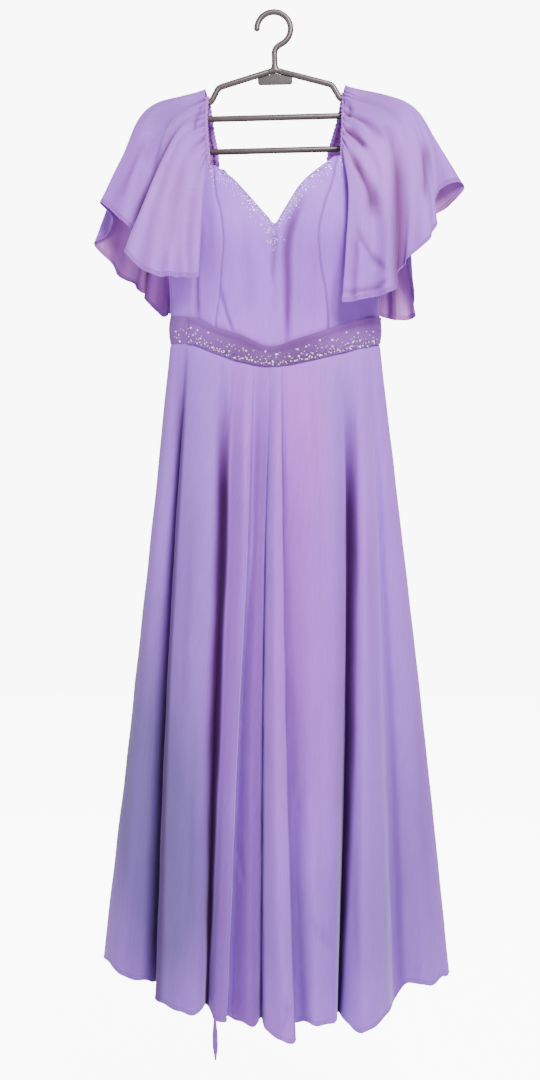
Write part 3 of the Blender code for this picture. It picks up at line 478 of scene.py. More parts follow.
SLEEVE_CREASES = creases(
    Side.FRONT,
    (4.0, 3.0, ((88, -426), (120, -428), (150, -420), (176, -402)), 0.30),
    (5.5, 6.5, ((107, -172), (122, -192), (138, -216)), 0.34),
    (7.0, -3.0, ((106, -152), (124, -170), (146, -196))),
    (7.0, 7.0, ((108, -208), (126, -246), (142, -282), (146, -330)), 0.42),
    (8.0, -3.0, ((122, -214), (146, -256), (160, -300), (164, -360))),
    (10.5, 7.5, ((178, -170), (184, -250), (184, -350), (180, -480)), 0.34),
    (6.0, 5.0, ((226, -185), (226, -240), (222, -296)), 0.34),
    (8.0, -2.5, ((206, -196), (208, -260), (206, -330))),
    (6.0, 4.5, ((116, -330), (140, -372), (166, -404)), 0.20),
    (4.0, 5.0, ((106, -130), (115, -146), (113, -164)), 0.42),
    (6.0, 3.6, ((110, -150), (140, -172), (168, -204)), 0.24),
    (7.0, 3.0, ((118, -330), (116, -380), (112, -430)), 0.06),
    (8.0, 3.0, ((162, -160), (176, -196), (180, -236)), 0.14),
    (34.0, 0.6, ((120, -110), (165, -140), (205, -160)), 0.19),
    (3.0, 3.6, ((-112, -156), (-116, -172), (-116, -184)), 0.40),
    (2.6, 2.8, ((-106, -140), (-110, -150), (-112, -160)), 0.34),
    (5.0, 7.5, ((-126, -156), (-152, -198), (-176, -248), (-198, -306), (-214, -346)), 0.46),
    (4.0, -3.4, ((-112, -146), (-138, -184), (-164, -242), (-187, -302), (-210, -360))),
    (8.0, 3.4, ((-128, -220), (-142, -290), (-148, -380)), 0.06),
    (7.0, 3.0, ((-114, -262), (-121, -330), (-126, -400)), 0.05),
    (8.0, -2.2, ((-140, -250), (-156, -310), (-164, -390))),
    (7.0, 4.2, ((-184, -180), (-212, -236), (-232, -290)), 0.14),
    (9.0, 3.0, ((-150, -150), (-178, -196), (-196, -236)), 0.08),
    (28.0, 0.6, ((-130, -120), (-165, -145), (-195, -185)), 0.15),
    (6.0, 3.2, ((-240, -300), (-236, -330), (-226, -362)), 0.10),
) + creases(
    Side.BACK,
    (5.0, 6.0, ((-184, -330), (-194, -390), (-200, -470)), 0.50),
    (5.0, 6.0, ((-152, -350), (-160, -410), (-166, -500)), 0.50),
    (4.0, 2.0, ((-262, -356), (-228, -388), (-196, -412)), 0.36),
    (5.0, 5.0, ((178, -360), (182, -400), (180, -470)), 0.30),
    (6.0, 5.4, ((-112, -170), (-130, -210), (-140, -270)), 0.10),
    (7.0, 5.0, ((-176, -200), (-190, -260), (-200, -340)), 0.10),
    (6.0, 4.8, ((-142, -260), (-154, -320), (-160, -400)), 0.10),
    (8.0, -2.5, ((-160, -200), (-174, -270), (-182, -350))),
    (6.0, 5.4, ((108, -165), (130, -205), (142, -262)), 0.10),
    (7.0, 5.0, ((186, -200), (194, -260), (198, -350)), 0.10),
    (6.0, 4.8, ((150, -260), (160, -330), (170, -410)), 0.10),
    (8.0, -2.5, ((166, -200), (176, -270), (184, -350))),
)

# Larger stones of the neckline and of the waistband, X and Z as seen from the front
NECKLINE_STONES = (
    (-97, -235), (-83, -242), (-78, -250), (-86, -260), (-43, -285), (-37, -293), (-29, -307),
    (-18, -328), (77, -236), (81, -238), (86, -250), (65, -245), (57, -254), (48, -260),
    (47, -276), (51, -271), (26, -292), (23, -308), (8, -320), (-5, -324), (-7, -336),
    (-5, -354),
)
WAISTBAND_STONES = (
    (-122, -474), (-112, -478), (-96, -482), (-125, -487), (-108, -490), (-139, -493),
    (-145, -477), (-90, -504), (-79, -506), (-65, -510), (-40, -510), (-41, -519), (-32, -523),
    (-12, -511), (4, -516), (-1, -527), (24, -518), (37, -518), (48, -504), (49, -516),
    (58, -513), (69, -515), (68, -494), (86, -493), (87, -503), (98, -509), (108, -481),
    (114, -505), (125, -482), (128, -493), (117, -496), (128, -502), (140, -501), (149, -493),
    (148, -477),
)

# Layers of small stones under the neckline, with pitch, least depth and spread, and clusters of
# them, with place, spread and number
NECKLINE_LAYERS = ((4.2, 3.5, 4.0), (3.4, 7.0, 9.0), (5.0, 12.0, 16.0))
NECKLINE_CLUSTERS = (
    (-86, -252, 9, 18), (1, -345, 10, 20), (88, -244, 10, 16), (-30, -304, 9, 8),
    (30, -296, 8, 8),
)

BAND_CREASES = creases(
    Side.FRONT,
    (4.0, 1.4, ((-100, -478), (-50, -500), (-6, -516))),
    (4.0, 1.2, ((0, -516), (50, -502), (110, -484))),
    (3.0, 1.0, ((-8, -506), (-4, -518), (-3, -528))),
) + creases(
    Side.BACK,
    (4.0, 1.2, ((-120, -470), (-60, -474), (-10, -472))),
    (4.0, 1.2, ((14, -474), (70, -472), (126, -476))),
)

# Spots of pinker and bluer colour, partly uneven colour of the cloth and partly painted light and
# shade: lighter and pinker down the middle front, darker and bluer towards the lower left, the
# lower right and the sleeves' tops
TONES = (
    Tone(42, -620, 36, 150, 1.0),
    Tone(-46, -600, 22, 130, 0.6),
    Tone(30, -900, 60, 260, 0.75),
    Tone(-70, -900, 22, 260, 0.35),
    Tone(96, -640, 26, 150, -0.35),
    Tone(-115, -800, 36, 300, -0.45),
    Tone(-200, -1180, 62, 330, -1.1),
    Tone(-130, -1280, 50, 220, -0.85),
    Tone(200, -1270, 60, 240, -0.45),
    Tone(80, -1350, 100, 110, -0.25),
    Tone(130, -760, 22, 200, 0.35),
    Tone(-20, -1480, 200, 60, 0.15),
    Tone(-6, -506, 90, 22, 0.45),
    Tone(150, -250, 60, 70, 0.25),
    Tone(-150, -300, 50, 80, 0.25),
    Tone(-190, -190, 40, 40, -0.3),
    Tone(-150, -150, 34, 26, -0.5),
    Tone(150, -140, 40, 26, -0.4),
)


def column(table: Sequence[NamedTuple], name: str) -> np.ndarray:
    """One named column of a table as an array."""
    return np.array([getattr(row, name) for row in table], float)


def lookup(knots: Sequence[float], values: np.ndarray, at: np.ndarray | float) -> np.ndarray:
    """Values on smooth curves that pass through a table's rows and never overshoot them.

    Args:
        knots: Rising places of the rows.
        values: One value, or one row of values, for each knot.
        at: Place or places to look up; one place gives a whole row of values.

    Returns:
        The values there, with the ends held beyond the table.
    """
    knots = np.asarray(knots, float)
    values = np.asarray(values, float)
    spans = np.diff(knots).reshape((-1,) + (1,) * (values.ndim - 1))
    steps = np.diff(values, axis=0) / spans
    product = steps[:-1] * steps[1:]
    total = np.where(product > 0, steps[:-1] + steps[1:], 1.0)
    inner = np.where(product > 0, 2 * product / total, 0.0)
    slopes = np.concatenate([steps[:1], inner, steps[-1:]])
    at = np.clip(at, knots[0], knots[-1])
    i = np.clip(np.searchsorted(knots, at, "right") - 1, 0, len(knots) - 2)
    span = knots[i + 1] - knots[i]
    f = (at - knots[i]) / span
    return (
        (1 + 2 * f) * (1 - f) ** 2 * values[i]
        + f * (1 - f) ** 2 * span * slopes[i]
        + f * f * (3 - 2 * f) * values[i + 1]
        + f * f * (f - 1) * span * slopes[i + 1]
    )


def spline(keys: np.ndarray, samples: Sequence[int], closed: bool = False) -> np.ndarray:
    """Points on a centripetal curve through keys.

    Args:
        keys: Points to pass through, one a row.
        samples: Number of points from each key to the next.
        closed: Whether the last key runs on to the first.

    Returns:
        The points of the curve, one a row.
    """
    keys = np.asarray(keys, float)
    if closed:
        around = np.concatenate([keys[-1:], keys, keys[:2]])
    else:
        around = np.concatenate([keys[:1] * 2 - keys[1:2], keys, keys[-1:] * 2 - keys[-2:-1]])
    stretch = np.repeat(np.arange(len(samples)), samples)
    fraction = np.concatenate([np.arange(n) / n for n in samples])[:, None]
    points = [around[stretch + k] for k in range(4)]
    knots = [np.zeros((len(stretch), 1))]
    for first, second in zip(points, points[1:]):
        step = np.linalg.norm(second - first, axis=1, keepdims=True)
        knots.append(knots[-1] + np.sqrt(np.maximum(step, 1e-6)))
    at = knots[1] + (knots[2] - knots[1]) * fraction

    def mix(a: np.ndarray, b: np.ndarray, low: int, high: int) -> np.ndarray:
        """Point between two others, by knots."""
        return a + (b - a) * (at - knots[low]) / (knots[high] - knots[low])

    first, second, third = (mix(points[k], points[k + 1], k, k + 1) for k in range(3))
    curve = mix(mix(first, second, 0, 2), mix(second, third, 1, 3), 1, 2)
    return curve if closed else np.concatenate([curve, keys[-1:]])


def lengths_along(points: np.ndarray) -> np.ndarray:
    """Length from the first point of a line to each of its points."""
    steps = np.linalg.norm(np.diff(points, axis=0), axis=-1)
    return np.concatenate([np.zeros((1,) + steps.shape[1:]), np.cumsum(steps, axis=0)])


def spread_evenly(points: np.ndarray, shares: np.ndarray) -> np.ndarray:
    """Points at the given shares of a line's length."""
    lengths = lengths_along(points)
    at = shares * lengths[-1]
    return np.stack([np.interp(at, lengths, points[:, k]) for k in range(3)], axis=1)


def smooth_step(x: np.ndarray) -> np.ndarray:
    """Soft rise from nought to one."""
    x = np.clip(x, 0, 1)
    return x * x * (3 - 2 * x)


def normals_of(grid: np.ndarray) -> np.ndarray:
    """Outward directions at the points of a grid whose rows run down the cloth."""
    down = np.gradient(grid, axis=0)
    across = np.gradient(grid, axis=1)
    normal = np.cross(down, across)
    return normal / np.maximum(np.linalg.norm(normal, axis=2, keepdims=True), 1e-9)


def crease_push(
    grid: np.ndarray, normals: np.ndarray, creases: Sequence[Crease]
) -> tuple[np.ndarray, np.ndarray]:
    """How far creases push each point of a grid outwards, and how much shade they paint on it.

    Args:
        grid: Points of the cloth.
        normals: Outward directions there.
        creases: Creases that may cross it.

    Returns:
        A push for each point, below zero in a trough, and the painted shade of each.
    """
    push = np.zeros(grid.shape[:2])
    tint = np.zeros(grid.shape[:2])
    for number, crease in enumerate(creases):
        line = np.array([(x, 0.0, z) for x, z in crease.line])
        line = spline(line, [8] * (len(line) - 1))[:, [0, 2]]
        run = lengths_along(line)
        nearest = np.full(push.shape, np.inf)
        along = np.zeros(push.shape)
        flat = grid[..., [0, 2]]
        for start, end, before in zip(line, line[1:], run):
            step = end - start
            share = np.clip(((flat - start) @ step) / (step @ step), 0, 1)
            gap = np.linalg.norm(flat - start - share[..., None] * step, axis=-1)
            closer = gap < nearest
            nearest = np.where(closer, gap, nearest)
            along = np.where(closer, before + share * np.linalg.norm(step), along)
        at = along / run[-1]
        taper = smooth_step(at / CREASE_TAPER) * smooth_step((1 - at) / CREASE_TAPER)
        uneven = 1 + CREASE_UNEVEN * np.sin(7.3 * at + 1.7 * number)
        across = nearest / (crease.width * (1 + CREASE_WOBBLE * np.sin(5.1 * at + number)))
        shape = np.exp(-across ** 2) - CREASE_RISE * np.exp(-(across / CREASE_REACH) ** 2)
        turned = normals[..., 1] * crease.side.value
        facing = smooth_step(turned * 2.2 + 0.4)
        push -= crease.depth * shape * taper * uneven * facing
        # Painted shade along the crease: its tint, darker where the trough is deeper
        painted_shade = crease.tint + max(crease.depth, 0.0) * CREASE_SHADE_PER_MM
        shown = smooth_step(turned * 3.0 + 1.0)
        tint = np.maximum(tint, painted_shade * np.exp(-across ** 2) * taper * shown)
    return push, tint


def flutter(grid: np.ndarray, size: float, height: float) -> np.ndarray:
    """Small uneven waves of soft cloth, about size apart and height tall."""
    x, y, z = (grid[..., k] * (2 * math.pi / size) for k in range(3))
    waves = np.sin(x + 0.31 * z + 0.4) * np.sin(0.23 * z - 0.5 * y + 1.1)
    waves += 0.6 * np.sin(1.7 * x - 0.21 * z + 0.7 * y) * np.sin(0.41 * z + 2.0)
    waves += 0.4 * np.sin(0.6 * x + 0.9 * y + 0.53 * z + 3.1)
    return waves * height / 2


def tone_of(grid: np.ndarray) -> np.ndarray:
    """Pinker or bluer cast at each point of a grid, partly uneven colour and partly painted light
    and shade.
    """
    x, z = grid[..., 0], grid[..., 2]
    tone = np.zeros(x.shape)
    for spot in TONES:
        across, up = (x - spot.x) / spot.half_x, (z - spot.z) / spot.half_z
        tone += spot.tone * np.exp(-across ** 2 - up ** 2)
    return np.clip(tone, -1, 1)


def deselect_all() -> None:
    """Leave nothing selected, so that operators reach only what is chosen next."""
    if bpy.context.object is not None and bpy.context.object.mode != "OBJECT":
        bpy.ops.object.mode_set(mode="OBJECT")
    bpy.ops.object.select_all(action="DESELECT")


def choose(obj: Object) -> None:
    """Select one object alone and make it active."""
    deselect_all()
    obj.select_set(True)
    bpy.context.view_layer.objects.active = obj


def select_faces(obj: Object, wanted: Callable[[bmesh.types.BMFace], bool]) -> None:
    """Select the faces of the object in edit mode that pass a test.

    Args:
        obj: Object in edit mode.
        wanted: Test of a face, by its place or normal.
    """
    bpy.ops.mesh.select_mode(type="FACE")
    bpy.ops.mesh.select_all(action="DESELECT")
    mesh = bmesh.from_edit_mesh(obj.data)
    for face in mesh.faces:
        face.select_set(wanted(face))
    mesh.select_flush_mode()
    bmesh.update_edit_mesh(obj.data)


def select_edges(obj: Object, wanted: Callable[[bmesh.types.BMEdge], bool]) -> None:
    """Select the edges of the object in edit mode that pass a test.

    Args:
        obj: Object in edit mode.
        wanted: Test of an edge, by its place or direction.
    """
    bpy.ops.mesh.select_mode(type="EDGE")
    bpy.ops.mesh.select_all(action="DESELECT")
    mesh = bmesh.from_edit_mesh(obj.data)
    for edge in mesh.edges:
        edge.select_set(wanted(edge))
    mesh.select_flush_mode()
    bmesh.update_edit_mesh(obj.data)


def settle(obj: Object, tilt: float = 0.0) -> None:
    """Put a piece's place into its mesh, after a turn about the origin in the hanger's plane."""
    choose(obj)
    bpy.ops.object.transform_apply(location=True, rotation=True, scale=True)
    obj.rotation_euler = (0, -tilt, 0)
    bpy.ops.object.transform_apply(location=True, rotation=True, scale=True)


def new_group(
    name: str, inputs: dict[str, tuple[str, object]], outputs: dict[str, str]
) -> NodeTree:
    """A shader node group with named sockets.

    Args:
        name: Name of the group.
        inputs: Kind of socket and default value for each input.
        outputs: Kind of socket for each output.

    Returns:
        The group with an input node and an output node.
    """
    group = bpy.data.node_groups.new(name, "ShaderNodeTree")
    for label, (kind, value) in inputs.items():
        socket = group.interface.new_socket(name=label, in_out="INPUT", socket_type=kind)
        if value is not None:
            socket.default_value = value
    for label, kind in outputs.items():
        group.interface.new_socket(name=label, in_out="OUTPUT", socket_type=kind)
    group.nodes.new("NodeGroupInput").name = "in"
    group.nodes.new("NodeGroupOutput").name = "out"
    return group


def add_node(tree: NodeTree, kind: str, **values: object) -> Node:
    """A node with its properties, or its inputs where an input has that name, set."""
    node = tree.nodes.new(kind)
    for label, value in values.items():
        socket_name = label.replace("_", " ").title()
        if hasattr(node, label):
            setattr(node, label, value)
        else:
            node.inputs[socket_name].default_value = value
    return node


def feed(tree: NodeTree, slot: NodeSocket, value: object) -> None:
    """Link a socket to an input, or give the input a number or colour."""
    if isinstance(value, NodeSocket):
        tree.links.new(value, slot)
    else:
        slot.default_value = value


def feed_all(tree: NodeTree, node: Node, values: dict[str, object]) -> None:
    """Feed the named inputs of a node."""
    for label, value in values.items():
        feed(tree, node.inputs[label], value)


def read_field(tree: NodeTree, name: str) -> NodeSocket:
    """A field of the mesh as a number, nought where the mesh has no such field."""
    return add_node(tree, "ShaderNodeAttribute", attribute_name=name).outputs["Fac"]


def new_material(name: str) -> tuple[Material, NodeTree, Node]:
    """A fresh material, its node tree and its shader."""
    made = bpy.data.materials.new(name)
    made.use_nodes = True
    return made, made.node_tree, made.node_tree.nodes["Principled BSDF"]


def math_node(
    tree: NodeTree, operation: str, first: object, second: object
) -> NodeSocket:
    """Result of one operation on two sockets or numbers."""
    node = tree.nodes.new("ShaderNodeMath")
    node.operation = operation
    for slot, value in zip(node.inputs, (first, second)):
        feed(tree, slot, value)
    return node.outputs[0]


def mix_colours(
    tree: NodeTree, factor: object, first: object, second: object, blend: str = "MIX"
) -> NodeSocket:
    """Result of a mix of two colours or colour sockets."""
    node = tree.nodes.new("ShaderNodeMix")
    node.data_type = "RGBA"
    node.blend_type = blend
    slots = (node.inputs["Factor"], node.inputs[6], node.inputs[7])
    for slot, value in zip(slots, (factor, first, second)):
        feed(tree, slot, value)
    return node.outputs[2]


def crepe_group() -> NodeTree:
    """Weave of crepe chiffon: fine warp and weft, with the pebbly grain of twisted yarn."""
    made = bpy.data.node_groups.get("crepe_grain")
    if made:
        return made
    group = new_group(
        "crepe_grain",
        {"Vector": ("NodeSocketVector", None), "Threads": ("NodeSocketFloat", 900.0)},
        {"Height": "NodeSocketFloat", "Slub": "NodeSocketFloat"},
    )
    source, out = group.nodes["in"], group.nodes["out"]
    parts = add_node(group, "ShaderNodeSeparateXYZ")
    group.links.new(source.outputs["Vector"], parts.inputs[0])
    yarns = []
    for axis in ("X", "Y"):
        turn = math_node(group, "MULTIPLY", parts.outputs[axis], source.outputs["Threads"])
        yarns.append(math_node(group, "SINE", turn, 0.0))
    weave = math_node(group, "MULTIPLY", yarns[0], yarns[1])
    pebble = add_node(group, "ShaderNodeTexNoise", scale=620.0, detail=3.0, roughness=0.6)
    group.links.new(source.outputs["Vector"], pebble.inputs["Vector"])
    height = math_node(group, "MULTIPLY_ADD", weave, 0.25)
    group.links.new(pebble.outputs["Fac"], height.node.inputs[2])
    group.links.new(height, out.inputs["Height"])
    stretch = add_node(group, "ShaderNodeVectorMath", operation="MULTIPLY")
    stretch.inputs[1].default_value = (340.0, 22.0, 1.0)
    group.links.new(source.outputs["Vector"], stretch.inputs[0])
    slub = add_node(group, "ShaderNodeTexNoise", scale=1.0, detail=2.0)
    group.links.new(stretch.outputs[0], slub.inputs["Vector"])
    group.links.new(slub.outputs["Fac"], out.inputs["Slub"])
    return group


def mottle_group() -> NodeTree:
    """Slow uneven variation from nought to one, in the space of the piece."""
    made = bpy.data.node_groups.get("soft_mottle")
    if made:
        return made
    group = new_group(
        "soft_mottle",
        {"Vector": ("NodeSocketVector", None), "Scale": ("NodeSocketFloat", 8.0)},
        {"Value": "NodeSocketFloat"},
    )
    source, out = group.nodes["in"], group.nodes["out"]
    noise = add_node(group, "ShaderNodeTexNoise", detail=3.0, roughness=0.55)
    group.links.new(source.outputs["Vector"], noise.inputs["Vector"])
    group.links.new(source.outputs["Scale"], noise.inputs["Scale"])
    spread = add_node(group, "ShaderNodeMapRange")
    spread.inputs["From Min"].default_value = 0.3
    spread.inputs["From Max"].default_value = 0.7
    group.links.new(noise.outputs["Fac"], spread.inputs["Value"])
    group.links.new(spread.outputs["Result"], out.inputs["Value"])
    return group


def place_group(
    tree: NodeTree, group: NodeTree, vector: NodeSocket, **values: float
) -> Node:
    """A group in a material, fed with a vector and numbers."""
    node = tree.nodes.new("ShaderNodeGroup")
    node.node_tree = group
    tree.links.new(vector, node.inputs["Vector"])
    for label, value in values.items():
        node.inputs[label.title()].default_value = value
    return node


@dataclass(frozen=True)
class ChiffonFinish:
    """Matte crepe chiffon from bluer to pinker lavender, partly painted light, with painted shade
    in its folds and a darker doubled hem.
    """

    name: str
    middle: Colour
    pink: Colour
    blue: Colour
    # Colour of the painted shade in folds, creases and gaps, and of the doubled hem
    painted_shade_colour: Colour = (0.095, 0.018, 0.190, 1)
    roughness: float = 0.72
    sheen: float = 0.3
    grain: float = 0.22
    crinkle: float = 0.22
    glow: float = 0.3
    gloss: float = 0.25
    hem_width: float = 0.0055
    hem_tint: float = 0.26
    hem_band: float = 0.3

    def dye_and_light(self, tree: NodeTree) -> NodeSocket:
        """Colour of the open cloth, pinker or bluer from place to place, partly uneven colour and
        partly painted light and shade.
        """
        tone = read_field(tree, "tone")
        pinker = math_node(tree, "MAXIMUM", tone, 0.0)
        bluer = math_node(tree, "MAXIMUM", math_node(tree, "MULTIPLY", tone, -1.0), 0.0)
        colour = mix_colours(tree, pinker, self.middle, self.pink)
        return mix_colours(tree, bluer, colour, self.blue)

    def painted_shade_and_hem(self, tree: NodeTree) -> NodeSocket:
        """Painted shade of the folds, creases and gaps, with the stitch line and doubled hem, which
        on the sleeves also stands in for the shade under a turned-up hem.
        """
        depth, hem = read_field(tree, "depth"), read_field(tree, "hem")
        past = math_node(tree, "SUBTRACT", hem, self.hem_width)
        offset = math_node(tree, "ABSOLUTE", past, 0.0)
        widths = math_node(tree, "MULTIPLY", offset, 1.0 / STITCH_HALF)
        stitch = math_node(tree, "MAXIMUM", math_node(tree, "SUBTRACT", 1.0, widths), 0.0)
        stitch = math_node(tree, "MULTIPLY", stitch, self.hem_tint)
        hemmed = math_node(tree, "GREATER_THAN", hem, NO_HEM)
        below = math_node(tree, "LESS_THAN", hem, self.hem_width)
        double = math_node(tree, "MULTIPLY", hemmed, below)
        double = math_node(tree, "MULTIPLY", double, self.hem_tint * self.hem_band)
        return math_node(tree, "MAXIMUM", depth, math_node(tree, "MAXIMUM", stitch, double))

    def material(self) -> Material:
        """The finish as a material, made once."""
        made = bpy.data.materials.get(self.name)
        if made:
            return made
        made, tree, shader = new_material(self.name)
        place = add_node(tree, "ShaderNodeTexCoord")
        painted_shade_and_hem = self.painted_shade_and_hem(tree)
        # Painted shade: the colour mixes towards the shade colour in folds, creases and gaps
        colour = mix_colours(tree, painted_shade_and_hem, self.dye_and_light(tree), self.painted_shade_colour)
        mottle = place_group(tree, mottle_group(), place.outputs["Object"], scale=9.0)
        grain = place_group(tree, crepe_group(), place.outputs["UV"])
        shade = math_node(tree, "MULTIPLY_ADD", mottle.outputs["Value"], 0.05)
        shade.node.inputs[2].default_value = 0.955
        slub = math_node(tree, "MULTIPLY_ADD", grain.outputs["Slub"], 0.22)
        tree.links.new(shade, slub.node.inputs[2])
        brightness = math_node(tree, "SUBTRACT", slub, 0.11)
        colour = mix_colours(tree, 1.0, colour, brightness, "MULTIPLY")
        # Sheen and gloss are turned down where shade is painted
        shaded_share = math_node(tree, "MULTIPLY", painted_shade_and_hem, 0.9)
        unshaded_share = math_node(tree, "SUBTRACT", 1.0, shaded_share)
        feed_all(tree, shader, {
            "Base Color": colour,
            "Roughness": self.roughness,
            "Sheen Weight": math_node(tree, "MULTIPLY", unshaded_share, self.sheen),
            "Sheen Roughness": 0.45,
            "Sheen Tint": (0.93, 0.86, 1.0, 1.0),
            "Specular IOR Level": math_node(tree, "MULTIPLY", unshaded_share, self.gloss),
            "Subsurface Weight": self.glow,
            "Subsurface Radius": (1.0, 0.6, 1.2),
            "Subsurface Scale": 0.004,
        })
        crinkle = add_node(tree, "ShaderNodeTexNoise", scale=60.0, detail=3.0)
        tree.links.new(place.outputs["Object"], crinkle.inputs["Vector"])
        soft = add_node(tree, "ShaderNodeBump", strength=self.crinkle, distance=0.002)
        tree.links.new(crinkle.outputs["Fac"], soft.inputs["Height"])
        fine = add_node(tree, "ShaderNodeBump", strength=self.grain, distance=0.0004)
        tree.links.new(grain.outputs["Height"], fine.inputs["Height"])
        tree.links.new(soft.outputs["Normal"], fine.inputs["Normal"])
        tree.links.new(fine.outputs["Normal"], shader.inputs["Normal"])
        return made


@dataclass(frozen=True)
class PlasticFinish:
    """Satin moulded plastic with faint handling marks."""

    name: str
    base: Colour
    worn: Colour
    roughness: float = 0.3
    coat: float = 0.2

    def material(self) -> Material:
        """The finish as a material, made once."""
        made = bpy.data.materials.get(self.name)
        if made:
            return made
        made, tree, shader = new_material(self.name)
        place = add_node(tree, "ShaderNodeTexCoord")
        mottle = place_group(tree, mottle_group(), place.outputs["Object"], scale=22.0)
        marks = place_group(tree, mottle_group(), place.outputs["Object"], scale=240.0)
        colour = mix_colours(tree, mottle.outputs["Value"], self.base, self.worn)
        tree.links.new(colour, shader.inputs["Base Color"])
        rough = math_node(tree, "MULTIPLY_ADD", marks.outputs["Value"], 0.12)
        rough.node.inputs[2].default_value = self.roughness
        feed_all(tree, shader, {
            "Roughness": rough, "Coat Weight": self.coat, "Coat Roughness": 0.25,
        })
        bump = add_node(tree, "ShaderNodeBump", strength=0.05, distance=0.0004)
        tree.links.new(marks.outputs["Value"], bump.inputs["Height"])
        tree.links.new(bump.outputs["Normal"], shader.inputs["Normal"])
        return made


@dataclass(frozen=True)
class StoneFinish:
    """Foil-backed cut stone or bead, its colour mixed at random between base and tint, which on the
    crystals partly stands in for glints.
    """

    name: str
    base: Colour
    tint: Colour
    metallic: float
    roughness: float

    def material(self) -> Material:
        """The finish as a material, made once."""
        made = bpy.data.materials.get(self.name)
        if made:
            return made
        made, tree, shader = new_material(self.name)
        place = add_node(tree, "ShaderNodeTexCoord")
        glint_and_tone = place_group(tree, mottle_group(), place.outputs["Object"], scale=420.0)
        colour = mix_colours(tree, glint_and_tone.outputs["Value"], self.base, self.tint)
        feed_all(tree, shader, {
            "Base Color": colour, "Metallic": self.metallic, "Roughness": self.roughness,
            "Coat Weight": 1.0, "Coat Roughness": 0.04,
        })
        return made


SKIRT_FINISH = ChiffonFinish(
    "skirt_chiffon", (0.310, 0.112, 0.640, 1), (0.375, 0.098, 0.640, 1), (0.126, 0.080, 0.290, 1),
    painted_shade_colour=(0.040, 0.009, 0.060, 1),
)
BODICE_FINISH = ChiffonFinish(
    "bodice_chiffon", (0.345, 0.114, 0.730, 1), (0.370, 0.102, 0.650, 1), (0.240, 0.098, 0.540, 1),
    painted_shade_colour=(0.085, 0.022, 0.092, 1),
)
# The sleeves' pink is light because it also paints light through the chiffon onto their inner side;
# their darker hem band partly stands in for the shade under a turned-up hem
SLEEVE_FINISH = ChiffonFinish(
    "sleeve_chiffon", (0.315, 0.108, 0.615, 1), (0.480, 0.200, 0.560, 1), (0.225, 0.110, 0.430, 1),
    painted_shade_colour=(0.100, 0.025, 0.096, 1), hem_width=0.0055, hem_tint=0.55, hem_band=0.6,
)
BAND_FINISH = ChiffonFinish(
    "band_chiffon", (0.180, 0.057, 0.305, 1), (0.112, 0.033, 0.172, 1), (0.210, 0.078, 0.390, 1)
)
STRAP_FINISH = ChiffonFinish(
    "strap_chiffon", (0.300, 0.105, 0.520, 1), (0.330, 0.100, 0.500, 1), (0.280, 0.110, 0.520, 1)
)
HEM_FINISH = ChiffonFinish(
    "hem_chiffon", (0.260, 0.090, 0.520, 1), (0.320, 0.088, 0.530, 1), (0.175, 0.085, 0.430, 1)
)
ROD_FINISH = PlasticFinish("hanger_plastic_rod", (0.054, 0.037, 0.039, 1), (0.066, 0.046, 0.048, 1))
PLATE_FINISH = PlasticFinish(
    "hanger_plastic_plate", (0.042, 0.032, 0.033, 1), (0.050, 0.039, 0.040, 1),
    roughness=0.6, coat=0.0,
)
# The crystals' near-white base stands in for the sparkle of cut crystal: painted glint
CRYSTAL_FINISH = StoneFinish(
    "crystal_stone", (1.0, 0.98, 1.0, 1), (0.66, 0.58, 0.84, 1), 0.25, 0.10
)
BEAD_FINISH = StoneFinish("lilac_bead", (0.10, 0.045, 0.13, 1), (0.26, 0.15, 0.32, 1), 0.4, 0.2)


def finish_piece(
    obj: Object, material: Material, replaces: Sequence[str] = ()
) -> Object:
    """Dress a piece, hang it on the body and hide the CAD nodes that it stands for.

    Args:
        obj: The piece, with its place in its mesh.
        material: Its finish.
        replaces: CAD nodes that it stands for.

    Returns:
        The same piece.
    """
    obj.data.materials.clear()
    obj.data.materials.append(material)
    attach(obj, BODY)
    if replaces:
        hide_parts(*replaces)
    LOG.info("%s: %d faces", obj.name, len(obj.data.polygons))
    return obj


def mesh_piece(name: str, points: np.ndarray, faces: Sequence[Sequence[int]]) -> Object:
    """A piece from points in millimetres and their faces."""
    mesh = bpy.data.meshes.new(name)
    corners = [list(map(int, face)) for face in faces]
    mesh.from_pydata((np.asarray(points) * MM).tolist(), [], corners)
    mesh.shade_smooth()
    obj = bpy.data.objects.new(name, mesh)
    bpy.context.scene.collection.objects.link(obj)
    return obj


